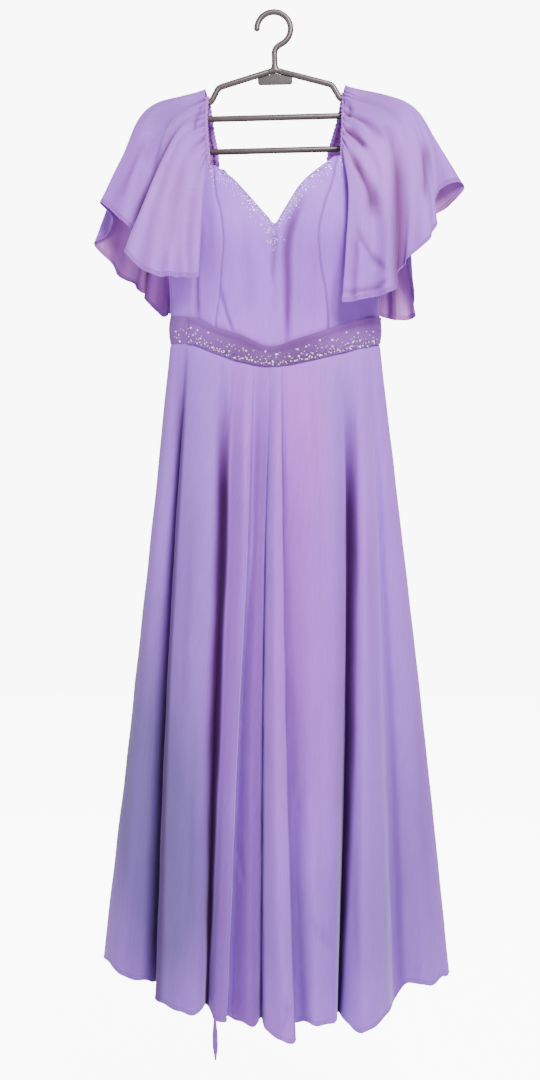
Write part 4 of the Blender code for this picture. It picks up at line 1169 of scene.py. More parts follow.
@dataclass
class Cloth:
    """A sheet of cloth on a grid of points whose rows run down it.

    Attributes:
        name: Name of the CAD node that it stands for.
        grid: Middle of its wall, in millimetres.
        finish: Its chiffon.
        flat: Width and length of its cut, in metres; not used.
        area: Flat area of its cut, in square metres, or None for width times length; not used.
        held: How it is held; not used.
        rests_on: What it hangs from.
        trims: Hems, stitch lines and stones that go with it.
        depth: How much painted shade each point has, from nought to one.
        cast: How much pinker and lighter the inner side is painted, as painted light that stands in
            for light through the chiffon.
        hemmed: Whether a stitch line runs along its lower edge.
    """

    name: str
    grid: np.ndarray
    finish: ChiffonFinish
    flat: tuple[float, float]
    area: float | None
    held: str
    rests_on: tuple[str, ...]
    trims: list[Object] = field(default_factory=list)
    depth: np.ndarray | None = None
    cast: np.ndarray | None = None
    hemmed: bool = False

    def crease(self, creases: Sequence[Crease], size: float, height: float) -> None:
        """Push the given creases and small waves into the cloth.

        Args:
            creases: Creases that may cross it.
            size: Distance between small waves.
            height: Height of the small waves.
        """
        normals = normals_of(self.grid)
        creased, tint = crease_push(self.grid, normals, creases)
        push = creased + flutter(self.grid, size, height)
        self.grid = self.grid + normals * push[..., None]
        # The creases' tint is painted shade, kept in the cloth's depth
        before = self.depth if self.depth is not None else np.zeros(tint.shape)
        self.depth = np.maximum(before, np.clip(tint, 0, 1))

    def sink_seams(self, edges: str) -> None:
        """Turn the cloth in at its seams, and paint shade along its left and right seams where it
        turns in.

        Args:
            edges: Letters l, r, t and b for the left, right, top and bottom seams.
        """
        across = lengths_along(self.grid.transpose(1, 0, 2)).T
        down = lengths_along(self.grid)
        gaps = {"l": across, "r": across[:, -1:] - across, "t": down, "b": down[-1:] - down}
        normals = normals_of(self.grid)
        for letter in edges:
            near = np.exp(-(gaps[letter] / SEAM_TURN_WIDTH) ** 2)
            self.grid = self.grid - normals * (SEAM_TURN * near)[..., None]
            if letter in "lr":
                self.depth = np.maximum(self.depth, SEAM_SHADE * near ** 3)

    def add_trim(self, trim: Object) -> None:
        """Note a hem, stitch line or stones that go with this cloth."""
        self.trims.append(trim)

    def paint_lining_light(self, mesh: Mesh) -> None:
        """Paint light onto the inner side of the cloth, a pinker and lighter cast that stands in
        for light through the chiffon.

        Args:
            mesh: The cloth's mesh, once it has both its sides.
        """
        points = np.empty(len(mesh.vertices) * 3, np.float32)
        mesh.vertices.foreach_get("co", points)
        middle = np.tile(self.grid.reshape(-1, 3), (2, 1))
        normals = np.tile(normals_of(self.grid).reshape(-1, 3), (2, 1))
        inner = ((points.reshape(-1, 3) / MM - middle) * normals).sum(-1) < 0
        tone = np.tile(tone_of(self.grid).ravel(), 2) + inner * np.tile(self.cast.ravel(), 2)
        mesh.attributes["tone"].data.foreach_set("value", np.clip(tone, -1, 1).astype(np.float32))

    def build(self) -> Object:
        """The cloth as a thin shell, dressed and hung on the body."""
        rows, columns = self.grid.shape[:2]
        index = np.arange(rows * columns).reshape(rows, columns)
        faces = np.stack([index[:-1, :-1], index[1:, :-1], index[1:, 1:], index[:-1, 1:]], -1)
        obj = mesh_piece(self.name + "_cloth", self.grid.reshape(-1, 3), faces.reshape(-1, 4))
        mesh = obj.data
        across = lengths_along(self.grid.transpose(1, 0, 2)).T * MM
        down = lengths_along(self.grid) * MM
        flat_places = np.stack([across, down], -1).reshape(-1, 2)
        loops = np.empty(len(mesh.loops), np.int32)
        mesh.loops.foreach_get("vertex_index", loops)
        uv_map = mesh.uv_layers.new(name="cut")
        uv_map.data.foreach_set("uv", flat_places[loops].astype(np.float32).ravel())
        fields = {"tone": tone_of(self.grid)}
        if self.depth is not None:
            fields["depth"] = self.depth
        if self.hemmed:
            fields["hem"] = np.maximum(down[-1:] - down, 0.0) + HEM_START
        for label, values in fields.items():
            attribute = mesh.attributes.new(label, "FLOAT", "POINT")
            attribute.data.foreach_set("value", values.astype(np.float32).ravel())
        choose(obj)
        wall = obj.modifiers.new("wall", "SOLIDIFY")
        wall.thickness = CLOTH_WALL * MM
        wall.offset = 0.0
        bpy.ops.object.modifier_apply(modifier="wall")
        if self.cast is not None:
            self.paint_lining_light(mesh)
        bpy.ops.object.shade_smooth_by_angle(angle=CLOTH_SMOOTH)
        finish_piece(obj, self.finish.material(), [self.name])
        list(self.rests_on)
        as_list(self.trims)
        return obj


def tube_faces(rings: int, sides: int) -> list[list[int]]:
    """Faces of a closed tube whose points lie ring by ring, with both its caps."""
    index = np.arange(rings * sides).reshape(rings, sides)
    after = np.roll(index, -1, axis=1)
    faces = np.stack([index[:-1], after[:-1], after[1:], index[1:]], -1).reshape(-1, 4).tolist()
    return [*faces, index[0, ::-1].tolist(), index[-1].tolist()]


def face_outward(obj: Object) -> None:
    """Turn all faces of a closed piece outward."""
    choose(obj)
    bpy.ops.object.mode_set(mode="EDIT")
    bpy.ops.mesh.select_all(action="SELECT")
    bpy.ops.mesh.normals_make_consistent(inside=False)
    bpy.ops.object.mode_set(mode="OBJECT")


def tube_along(
    name: str, line: np.ndarray, radius: np.ndarray, sides: int, up: np.ndarray
) -> Object:
    """A closed tube along a line, with rounded ends.

    Args:
        name: Name of the piece.
        line: Centre line in millimetres, one point a row.
        radius: Radius at each point.
        sides: Sides of the tube.
        up: A direction at each point that isn't along the line.

    Returns:
        The tube.
    """
    along = np.gradient(line, axis=0)
    along /= np.linalg.norm(along, axis=1, keepdims=True)
    side = np.cross(along, up)
    side /= np.linalg.norm(side, axis=1, keepdims=True)
    rise = np.cross(side, along)
    turn = np.arange(sides) * 2 * math.pi / sides
    rings = line[:, None] + radius[:, None, None] * (
        np.cos(turn)[None, :, None] * side[:, None] + np.sin(turn)[None, :, None] * rise[:, None]
    )
    obj = mesh_piece(name, rings.reshape(-1, 3), tube_faces(len(line), sides))
    face_outward(obj)
    return obj


@dataclass
class RolledHem:
    """Narrow rolled hem along a free edge of cloth."""

    name: str
    radius: float = 0.95
    sides: int = 8
    wobble: float = 0.16

    def build(self, edge: np.ndarray, normals: np.ndarray) -> Object:
        """The hem along an edge.

        Args:
            edge: Points of the free edge, in millimetres.
            normals: Outward directions there.

        Returns:
            The hem's piece.
        """
        run = lengths_along(edge)
        uneven = 1 + self.wobble * (np.sin(run * 0.9) * 0.5 + np.sin(run * 0.37 + 1.3) * 0.5)
        fade = np.minimum(1.0, 0.5 + np.minimum(run, run[-1] - run) / 3.0)
        obj = tube_along(self.name, edge, self.radius * uneven * fade, self.sides, normals)
        tone = obj.data.attributes.new("tone", "FLOAT", "POINT")
        centres = np.repeat(tone_of(edge[None])[0], self.sides)
        tone.data.foreach_set("value", centres.astype(np.float32))
        return finish_piece(obj, HEM_FINISH.material())


@dataclass
class GownBody:
    """The shape that bodice, waistband and skirt share round the wearer's waist."""

    def __post_init__(self) -> None:
        """Work out the angle of every column round the waist."""
        folds = FRONT_FOLDS + BACK_FOLDS
        self.samples = [FRONT_FINE] * len(FRONT_FOLDS) + [BACK_FINE] * len(BACK_FOLDS)
        front = self.angle_at(column(FRONT_FOLDS, "waist_x"), BACK_BAND_BOTTOM_Z)
        back = 2 * math.pi - self.angle_at(column(BACK_FOLDS, "waist_x"), BACK_BAND_BOTTOM_Z)
        keys = np.concatenate([front, back])
        ends = np.append(keys[1:], keys[0] + 2 * math.pi)
        spans = zip(keys, ends, self.samples)
        steps = [start + (end - start) * np.arange(n) / n for start, end, n in spans]
        self.angles = np.concatenate(steps)
        firsts = np.concatenate([[0], np.cumsum(self.samples)[:-1]])
        self.first_column = {fold.name: int(first) for fold, first in zip(folds, firsts)}
        self.side_left = self.first_column["side_left"] + FRONT_FINE // 2
        self.side_right = self.first_column["right_side_crest"] + FRONT_FINE // 2
        self.centre_back = self.first_column["centre_right"] + BACK_FINE // 3

    def point(self, angle: np.ndarray, z: np.ndarray) -> np.ndarray:
        """Points of the body: angle 0 at the left side, a quarter turn at the front."""
        heights = column(BODY_ROWS, "z")
        half_width = lookup(heights, column(BODY_ROWS, "half_width"), z)
        front = lookup(heights, column(BODY_ROWS, "front_depth"), z)
        back = lookup(heights, column(BODY_ROWS, "back_depth"), z)
        x = BODY_CENTRE_X - half_width * np.cos(angle)
        across = (np.abs(x - BODY_CENTRE_X) - CUP_X) / CUP_HALF_WIDTH
        up = (z - CUP_Z) / CUP_HALF_HEIGHT
        swell = CUP_DEPTH * np.exp(-across ** 2 - up ** 2)
        depth = np.where(np.sin(angle) >= 0, front + swell, back)
        return np.stack([x, -depth * np.sin(angle), z + 0 * x], -1)

    def angle_at(self, x: np.ndarray, z: np.ndarray | float) -> np.ndarray:
        """Angles of the front of the body where it passes x."""
        half_width = lookup(column(BODY_ROWS, "z"), column(BODY_ROWS, "half_width"), z)
        return np.arccos(np.clip((BODY_CENTRE_X - x) / half_width, -1, 1))

    def band_edge(self, table: Sequence[Edge], back_z: float, angle: np.ndarray) -> np.ndarray:
        """Heights of a waistband edge at angles round the waist."""
        x = self.point(angle, np.full(angle.shape, back_z))[..., 0]
        front = lookup(column(table, "x"), column(table, "z"), x)
        return np.where(np.sin(angle) < 0, back_z, front)

    def band_top(self, angle: np.ndarray) -> np.ndarray:
        """Heights where the bodice meets the waistband."""
        return self.band_edge(BAND_TOP, BACK_BAND_TOP_Z, angle)

    def band_bottom(self, angle: np.ndarray) -> np.ndarray:
        """Heights where the waistband meets the skirt."""
        return self.band_edge(BAND_BOTTOM, BACK_BAND_BOTTOM_Z, angle)

    def stretch(self, start: int, end: int) -> np.ndarray:
        """Numbers of the columns from one to another, past the ring's join if need be."""
        count = len(self.angles)
        return np.arange(start, end + 1 if end > start else end + count + 1) % count

    def unwound(self, start: int, end: int) -> np.ndarray:
        """Rising angles from one column to another."""
        angles = self.angles[self.stretch(start, end)]
        return np.where(angles < angles[0] - 1e-9, angles + 2 * math.pi, angles)


def open_seams(grid: np.ndarray) -> np.ndarray:
    """A grid whose left and right edges stop just short of their seams."""
    grid = grid.copy()
    for edge, inner in ((0, 1), (-1, -2)):
        step = grid[:, inner] - grid[:, edge]
        grid[:, edge] += step / np.linalg.norm(step, axis=1, keepdims=True) * HALF_SEAM
    return grid


@dataclass
class Skirt:
    """Full-length skirt in five panels with a rolled hem."""

    body: GownBody
    cuts: dict[str, Triple] = field(default_factory=lambda: {
        "skirt_front_left": (0.46, 0.97, 0.283),
        "skirt_front_pleat": (0.135, 0.98, 0.0725),
        "skirt_front_right": (0.445, 1.00, 0.276),
        "skirt_back_right": (0.46, 0.985, 0.298),
        "skirt_back_left": (0.435, 0.985, 0.278),
    })
    flute_start: float = 0.72
    flute_depth: float = 2.2
    turn_depth: float = 14.0
    scallop_height: float = 2.0
    round_columns: int = 5

    def ring(self, drop: float) -> np.ndarray:
        """Closed ring of the skirt at a share of the way from the waistband to the hem."""
        folds = FRONT_FOLDS + BACK_FOLDS
        angle = self.body.angles[[self.body.first_column[fold.name] for fold in folds]]
        waist = self.body.point(angle, self.body.band_bottom(angle))
        names = ("upper_x", "lower_x", "hem_x")
        across = np.stack([waist[:, 0], *(column(folds, name) for name in names)])
        x = lookup(STATIONS, across, drop)
        y = waist[:, 1] + (column(folds, "hem_y") - waist[:, 1]) * drop ** DEPTH_POWER
        z = waist[:, 2] + (column(folds, "hem_z") - waist[:, 2]) * drop
        return spline(np.stack([x, y, z], 1), self.body.samples, closed=True)

    def rings(self) -> np.ndarray:
        """All rings of the skirt, the first lying exactly under the waistband."""
        angles = self.body.angles
        waist = self.body.point(angles, self.body.band_bottom(angles))
        shift = waist - self.ring(0.0)
        drops = np.linspace(0, 1, SKIRT_ROWS)
        return np.stack([self.ring(drop) + shift * (1 - drop) ** WAIST_FADE for drop in drops])

    def shade_gaps(self, rings: np.ndarray) -> tuple[np.ndarray, np.ndarray]:
        """Paint shade into the gaps between folds and lift their bottoms a little.

        Args:
            rings: All rings of the skirt.

        Returns:
            The rings with softer gaps, and how much painted shade each point has.
        """
        drops = np.linspace(0, 1, SKIRT_ROWS)[:, None]
        count = rings.shape[1]
        lifted, depth = rings.copy(), np.zeros(rings.shape[:2])
        for number, gap in enumerate(GAPS):
            middle = self.body.first_column[gap.fold]
            steps = (np.arange(count) - middle + count // 2) % count - count // 2
            near = smooth_step((GAP_COLUMNS - np.abs(steps)) / 4.0)[None]
            outward = -1.0 if self.body.side_left < middle < self.body.side_right else 1.0
            away = (rings[..., 0] - rings[:, middle:middle + 1, 0]) * -outward
            slow, quick = np.sin(9 * drops + 2.1 * number), np.sin(23 * drops + number)
            wander = 1 + 0.12 * slow + 0.07 * quick
            left = lookup(STATIONS[1:], gap.left, drops) * wander
            right = lookup(STATIONS[1:], gap.right, drops) * wander
            shape = np.where(
                away < 0,
                np.exp(-np.abs(away / left) ** gap.left_power),
                np.exp(-np.abs(away / right) ** gap.right_power),
            ) * near
            fade = smooth_step((drops - gap.start) / 0.22)
            lifted[..., 1] += outward * gap.lift * shape * drops
            # Painted shade in the gap, faded in from its start down the skirt
            depth = np.maximum(depth, shape * gap.tint * fade)
        return lifted, depth

    def flute(self, rings: np.ndarray) -> np.ndarray:
        """Rings with small flutes and scallops that grow towards the hem."""
        rings = rings.copy()
        drops = np.linspace(0, 1, SKIRT_ROWS)[:, None]
        x, side = rings[..., 0], np.clip(rings[..., 1] / self.turn_depth, -1, 1)
        low = smooth_step((drops - self.flute_start) / (1 - self.flute_start)) ** 2
        waves = np.sin(x / 6.6 + 1.3 * side + 3.0 * drops) + 0.6 * np.sin(x / 10.3 + 2.0)
        scallops = np.sin(x / 7.9 + 0.8) + 0.7 * np.sin(x / 4.7 + 2.1 * side)
        rings[..., 1] += self.flute_depth * waves * low
        reach = range(-self.round_columns, self.round_columns + 1)
        softer = sum(np.roll(rings[..., 2], step, axis=1) for step in reach) / len(reach)
        rings[..., 2] += (softer - rings[..., 2]) * low
        rings[..., 2] += self.scallop_height * scallops * smooth_step((drops - 0.93) / 0.07)
        return rings

    def build(self) -> list[Object]:
        """The panels with their hems."""
        body = self.body
        rings, depth = self.shade_gaps(self.rings())
        rings = self.flute(rings)
        pleat_left = body.first_column["shade_right"] + FRONT_FINE // 2
        pleat_right = body.first_column["pleat_right"] + FRONT_FINE // 2
        panels = (
            ("skirt_front_left", body.side_left, pleat_left, "waistband_front_cloth"),
            ("skirt_front_pleat", pleat_left, pleat_right, "waistband_front_cloth"),
            ("skirt_front_right", pleat_right, body.side_right, "waistband_front_cloth"),
            ("skirt_back_right", body.side_right, body.centre_back, "waistband_back_right_cloth"),
            ("skirt_back_left", body.centre_back, body.side_left, "waistband_back_left_cloth"),
        )
        made = []
        for name, start, end, carrier in panels:
            width, length, area = self.cuts[name]
            columns = body.stretch(start, end)
            grid = open_seams(rings[:, columns])
            cloth = Cloth(
                name, grid, SKIRT_FINISH, (width, length), area, "hung", (carrier,),
                depth=depth[:, columns], hemmed=True,
            )
            cloth.crease(SKIRT_CREASES, 70.0, 0.8)
            cloth.sink_seams("t")
            edge, normals = cloth.grid[-1], normals_of(cloth.grid)[-1]
            cloth.add_trim(RolledHem(name + "_hem").build(edge, normals))
            made.append(cloth.build())
        return made


@dataclass
class Waistband:
    """Waistband with a dip at centre front, whose front piece laps over at the left."""

    body: GownBody
    lap_x: float = -125.0
    lap_height: float = 2.0
    lip_height: float = 1.6
    lip_reach: float = 4.5
    lip_shadow: float = 0.34
    cuts: dict[str, Triple] = field(default_factory=lambda: {
        "waistband_front": (0.345, 0.078, 0.0129),
        "waistband_back_right": (0.175, 0.040, 0.0069),
        "waistband_back_left": (0.175, 0.040, 0.0070),
    })

    def rows(self) -> np.ndarray:
        """Rows of the band from its top to its bottom, fuller half way down."""
        angles = self.body.angles
        high = self.body.band_top(angles) - HALF_SEAM
        low = self.body.band_bottom(angles) + HALF_SEAM
        outward = np.stack([-np.cos(angles), -np.sin(angles), 0 * angles], -1)
        rows = []
        for share in np.linspace(1, 0, BAND_ROWS):
            bulge = BAND_BULGE * math.sin(math.pi * share)
            rows.append(self.body.point(angles, low + (high - low) * share) + outward * bulge)
        return np.stack(rows)

    def build(self) -> dict[str, Cloth]:
        """The three pieces of the band, creased but not yet built."""
        body = self.body
        rows = self.rows()
        pieces = (
            ("waistband_front", body.side_left, body.side_right, "bodice_front_cloth"),
            ("waistband_back_right", body.side_right, body.centre_back, "bodice_back_right_cloth"),
            ("waistband_back_left", body.centre_back, body.side_left, "bodice_back_left_cloth"),
        )
        made = {}
        for name, start, end, carrier in pieces:
            width, length, area = self.cuts[name]
            grid = open_seams(rows[:, body.stretch(start, end)])
            cloth = Cloth(name, grid, BAND_FINISH, (width, length), area, "hung", (carrier,))
            cloth.crease(BAND_CREASES, 46.0, 0.5)
            if name == "waistband_front":
                lap = smooth_step((cloth.grid[..., 0] - self.lap_x + 1.0) / 2.0) * self.lap_height
                lip = self.lip_height * np.exp(-(lengths_along(cloth.grid) / self.lip_reach) ** 2)
                cloth.grid = cloth.grid + normals_of(cloth.grid) * (lap + lip)[..., None]
                below = np.exp(-((lengths_along(cloth.grid) - self.lip_reach * 1.7) / 3.0) ** 2)
                shadow = self.lip_shadow * below * lap / self.lap_height
                cloth.depth = np.maximum(cloth.depth, shadow)
            made[name] = cloth
        return made


@dataclass
class Bodice:
    """Bodice cut in three at the front, shaped by two curved seams, and in two at the back."""

    body: GownBody
    top_edge_halvings: int = 24
    blend_share: float = 1 / 6
    cuts: dict[str, Triple] = field(default_factory=lambda: {
        "bodice_front": (0.20, 0.268, 0.0349),
        "bodice_side_left": (0.10, 0.247, 0.0171),
        "bodice_side_right": (0.11, 0.268, 0.0206),
        "bodice_back_right": (0.18, 0.242, 0.0322),
        "bodice_back_left": (0.18, 0.232, 0.0313),
    })

    def seam_angle(self, seam: Sequence[Edge] | float, z: np.ndarray) -> np.ndarray:
        """Angles of a curved seam, or of a straight line when seam is one angle."""
        if isinstance(seam, float):
            return np.full(np.shape(z), seam)
        return self.body.angle_at(lookup(column(seam, "z"), column(seam, "x"), z), z)

    def panel(
        self, start: int, end: int, left_seam: object, right_seam: object, top: Sequence[Edge]
    ) -> np.ndarray:
        """Grid of a panel between two seams, rows from its top edge down to the band.

        Args:
            start: First column round the waist.
            end: Last column round the waist.
            left_seam: Seam table or angle at the first column.
            right_seam: Seam table or angle at the last column.
            top: Table of the top edge.

        Returns:
            The grid of points.
        """
        angles = self.body.unwound(start, end)
        share = (angles - angles[0]) / (angles[-1] - angles[0])
        bottom = self.body.band_top(angles) + HALF_SEAM
        high = bottom.copy()
        for _ in range(self.top_edge_halvings):
            left, right = self.seam_angle(left_seam, high), self.seam_angle(right_seam, high)
            x = self.body.point(left + (right - left) * share, high)[..., 0]
            high = (high + lookup(column(top, "x"), column(top, "z"), x)) / 2
        rows = []
        for rise in np.linspace(1, 0, BODICE_ROWS):
            z = bottom + (high - bottom) * rise
            left, right = self.seam_angle(left_seam, z), self.seam_angle(right_seam, z)
            target = left + (right - left) * share
            blend = min(1.0, rise / self.blend_share)
            rows.append(self.body.point(angles + (target - angles) * blend, z))
        return open_seams(np.stack(rows))

    def build(self) -> dict[str, Cloth]:
        """The five panels, creased but not yet built."""
        body = self.body
        princess_left = body.first_column["panel_right"]
        princess_right = body.first_column["wide_right"]
        centre_front = body.first_column["pleat_left"]
        angles = body.angles
        middle = float(angles[centre_front])
        left_side, right_side = float(angles[body.side_left]), float(angles[body.side_right])
        back = float(angles[body.centre_back])
        left_half = self.panel(princess_left, centre_front, LEFT_PRINCESS, middle, FRONT_TOP)
        right_half = self.panel(centre_front, princess_right, middle, RIGHT_PRINCESS, FRONT_TOP)
        joined = (left_half[:, -1:] + right_half[:, :1]) / 2
        grids = {
            "bodice_front": np.concatenate([left_half[:, :-1], joined, right_half[:, 1:]], axis=1),
            "bodice_side_left": self.panel(
                body.side_left, princess_left, left_side, LEFT_PRINCESS, FRONT_TOP
            ),
            "bodice_side_right": self.panel(
                princess_right, body.side_right, RIGHT_PRINCESS, right_side, FRONT_TOP
            ),
            "bodice_back_right": self.panel(
                body.side_right, body.centre_back, right_side, back, BACK_TOP
            ),
            "bodice_back_left": self.panel(
                body.centre_back, body.side_left, back, left_side + 2 * math.pi, BACK_TOP
            ),
        }
        carriers = {
            "bodice_front": ("strap_left_cloth", "strap_right_cloth"),
            "bodice_side_left": ("bodice_front_cloth", "strap_left_cloth"),
            "bodice_side_right": ("bodice_front_cloth", "strap_right_cloth"),
            "bodice_back_right": ("strap_right_cloth",),
            "bodice_back_left": ("strap_left_cloth",),
        }
        made = {}
        for name, grid in grids.items():
            width, length, area = self.cuts[name]
            cloth = Cloth(name, grid, BODICE_FINISH, (width, length), area, "hung", carriers[name])
            cloth.crease(BODICE_CREASES, 58.0, 0.6)
            cloth.sink_seams("lrb")
            made[name] = cloth
        return made


@dataclass
class RuchedStrap:
    """A strap in a casing that elastic draws into small puffs."""

    name: str
    keys: Sequence[Triple]
    carrier: str
    width: float = 7.0
    thickness: float = 4.6
    rings: int = 420
    sides: int = 28
    gathers: float = 33.0

    def line(self, count: int) -> np.ndarray:
        """Evenly spaced points along the strap."""
        keys = np.array(self.keys, float)
        return spread_evenly(spline(keys, [24] * (len(keys) - 1)), np.linspace(0, 1, count))

    def build(self) -> Object:
        """The strap, dressed and hung on the body."""
        line = self.line(self.rings)
        along = np.gradient(line, axis=0)
        along /= np.linalg.norm(along, axis=1, keepdims=True)
        across = np.array([1.0, 0.0, 0.0]) - along * along[:, :1]
        across /= np.linalg.norm(across, axis=1, keepdims=True)
        through = np.cross(along, across)
        share = np.linspace(0, 1, self.rings)[:, None]
        turn = (np.arange(self.sides) * 2 * math.pi / self.sides)[None]
        drift = 0.5 * np.sin(turn + 9 * share)
        phase = math.pi * self.gathers * (share + 0.012 * np.sin(23 * share)) + drift
        puff = 0.72 + 0.40 * np.abs(np.cos(phase)) ** 0.7
        puff = puff + 0.06 * np.sin(3 * turn + 31 * share)
        puff = puff * np.minimum(1.0, 0.6 + 14 * np.minimum(share, 1 - share))
        offset = across[:, None] * (np.cos(turn) * self.width / 2 * puff)[..., None]
        offset = offset + through[:, None] * (np.sin(turn) * self.thickness / 2 * puff)[..., None]
        points = line[:, None] + offset
        faces = tube_faces(self.rings, self.sides)
        obj = mesh_piece(self.name + "_cloth", points.reshape(-1, 3), faces)
        uv_map = obj.data.uv_layers.new(name="cut")
        loops = np.empty(len(obj.data.loops), np.int32)
        obj.data.loops.foreach_get("vertex_index", loops)
        run = lengths_along(line) * MM
        places = np.stack(np.broadcast_arrays(turn * self.width / 4 * MM, run[:, None]), -1)
        uv_map.data.foreach_set("uv", places.reshape(-1, 2)[loops].astype(np.float32).ravel())
        tone = obj.data.attributes.new("tone", "FLOAT", "POINT")
        tone.data.foreach_set("value", np.full(points.shape[:2], 0.6, np.float32).ravel())
        face_outward(obj)
        finish_piece(obj, STRAP_FINISH.material(), [self.name])
        return obj


@dataclass
class FlutterSleeve:
    """Circular flutter sleeve gathered on a strap and spread over the hanger's shoulder."""

    name: str
    rays: Sequence[Ray]
    strap: RuchedStrap
    outward: float
    ridge_z: float
    cut: Triple
    off_strap: float = 0.6
    over_strap: float = 3.6
    gather_height: float = 2.0
    gather_reach: float = 13.0
    gathers: int = 27
    # The gather, root and ruffle tints below are painted shade in the gathers, along the root and
    # in the hem's ruffles
    gather_shade: float = 0.46
    long_gathers: int = 11
    long_reach: float = 50.0
    root_shade: float = 0.24
    root_reach: float = 12.0
    hem_waves: int = 12
    lift_width: float = 0.09
    hem_wave: float = 3.4
    back_ruffle: float = 1.3
    ruffle_shade: float = 0.26
    lining_light: float = 0.9

    def grid(self) -> np.ndarray:
        """Points of the sleeve, rows from the strap down to the hem."""
        fine = self.strap.line(201)
        lines = []
        for ray in self.rays:
            root = fine[round(ray.strap * 200)].copy()
            lift = math.exp(-((ray.strap - 0.5) / self.lift_width) ** 2)
            root[0] += self.outward * self.off_strap
            root[1] += self.over_strap * math.tanh((ray.strap - 0.5) * 14)
            root[2] += (self.ridge_z - root[2]) * lift
            keys = np.array([root, ray.middle, ray.low, ray.hem], float)
            lines.append(spread_evenly(spline(keys, [24] * 3), np.linspace(0, 1, SLEEVE_ROWS)))
        samples = [SLEEVE_FINE] * (len(self.rays) - 1)
        rows = [spline(np.stack([line[r] for line in lines]), samples) for r in range(SLEEVE_ROWS)]
        grid = np.stack(rows)
        return grid if self.outward > 0 else grid[:, ::-1]

    def build(self) -> Object:
        """The sleeve with its hem, dressed and hung on the body."""
        width, length, area = self.cut
        cloth = Cloth(
            self.name, self.grid(), SLEEVE_FINISH, (width, length), area, "gathered",
            (self.strap.name + "_cloth",),
        )
        cloth.crease(SLEEVE_CREASES, 64.0, 0.7)
        normals = normals_of(cloth.grid)
        down = lengths_along(cloth.grid)
        around = np.linspace(0, 1, cloth.grid.shape[1])[None]
        small = np.sin(2 * math.pi * self.gathers * around + 1.5 * np.sin(19 * around))
        small = small * np.exp(-down / self.gather_reach)
        long = 0.7 * np.sin(2 * math.pi * self.long_gathers * around + 2.0 * np.sin(9 * around))
        long = long * np.exp(-down / self.long_reach)
        share = down / down[-1:]
        ruffle = self.hem_wave * (1 + smooth_step(cloth.grid[..., 1] / 40.0) * self.back_ruffle)
        wave = np.sin(2 * math.pi * self.hem_waves * around + 2.2 * np.sin(13 * around + 0.8))
        wave = wave * share ** 3 * ruffle
        cloth.grid = cloth.grid + normals * ((small + long) * self.gather_height + wave)[..., None]
        # Painted shade in the troughs of the hem's ruffles and of the gathers, and along the
        # sleeve's root at the strap
        trough = np.clip(-wave / self.hem_wave, 0, 1) * self.ruffle_shade
        root = self.root_shade * np.exp(-down / self.root_reach)
        gathered = np.clip(-(small + long), 0, 1) * self.gather_shade + root
        cloth.depth = np.clip(cloth.depth + gathered + trough, 0, 1)
        # Painted light on the inner side of the back half, standing in for light through the
        # chiffon
        cloth.cast = self.lining_light * smooth_step((cloth.grid[..., 1] + 10.0) / 30.0)
        cloth.hemmed = True
        normals = normals_of(cloth.grid)
        sides = (("hem", cloth.grid[-1], normals[-1]),
                 ("front_edge", cloth.grid[:, 0], normals[:, 0]),
                 ("back_edge", cloth.grid[:, -1], normals[:, -1]))
        for label, edge, ups in sides:
            cloth.add_trim(RolledHem(f"{self.name}_{label}").build(edge, ups))
        return cloth.build()


@dataclass
class WaistTie:
    """A narrow flat tie that hangs from the back of the waistband."""

    name: str
    keys: Sequence[Triple]
    carrier: str
    cut_length: float
    cut_width: float = 0.0105
    width: float = 9.0
    rows: int = 160
    columns: int = 9
    sway: float = 3.0
    tip_length: float = 22.0

    def build(self) -> Object:
        """The tie with its free end tapered and a little turned."""
        keys = np.array(self.keys, float)
        share = np.linspace(0, 1, self.rows)
        line = spread_evenly(spline(keys, [20] * (len(keys) - 1)), share)
        line[:, 0] += self.sway * np.sin(5 * share) * share
        left = (lengths_along(line)[-1] - lengths_along(line)) / self.tip_length
        half = self.width / 2 * (0.3 + 0.7 * smooth_step(left))
        turn = 0.35 * np.exp(-left / 4.0) + 0.9 * np.exp(-((left - 3.0) / 0.9) ** 2)
        turn = turn + 0.16 * np.sin(14 * share)
        across = np.linspace(-1, 1, self.columns)
        side = np.stack([-np.cos(turn), np.sin(turn), 0 * turn], -1)
        cup = 0.5 * (1 - across ** 2)[None, :, None] * np.array([0.0, 1.0, 0.0])
        grid = line[:, None] + side[:, None] * (half[:, None] * across)[..., None] + cup
        flat = (self.cut_width, self.cut_length)
        cloth = Cloth(self.name, grid, SKIRT_FINISH, flat, None, "hung", (self.carrier,))
        return cloth.build()


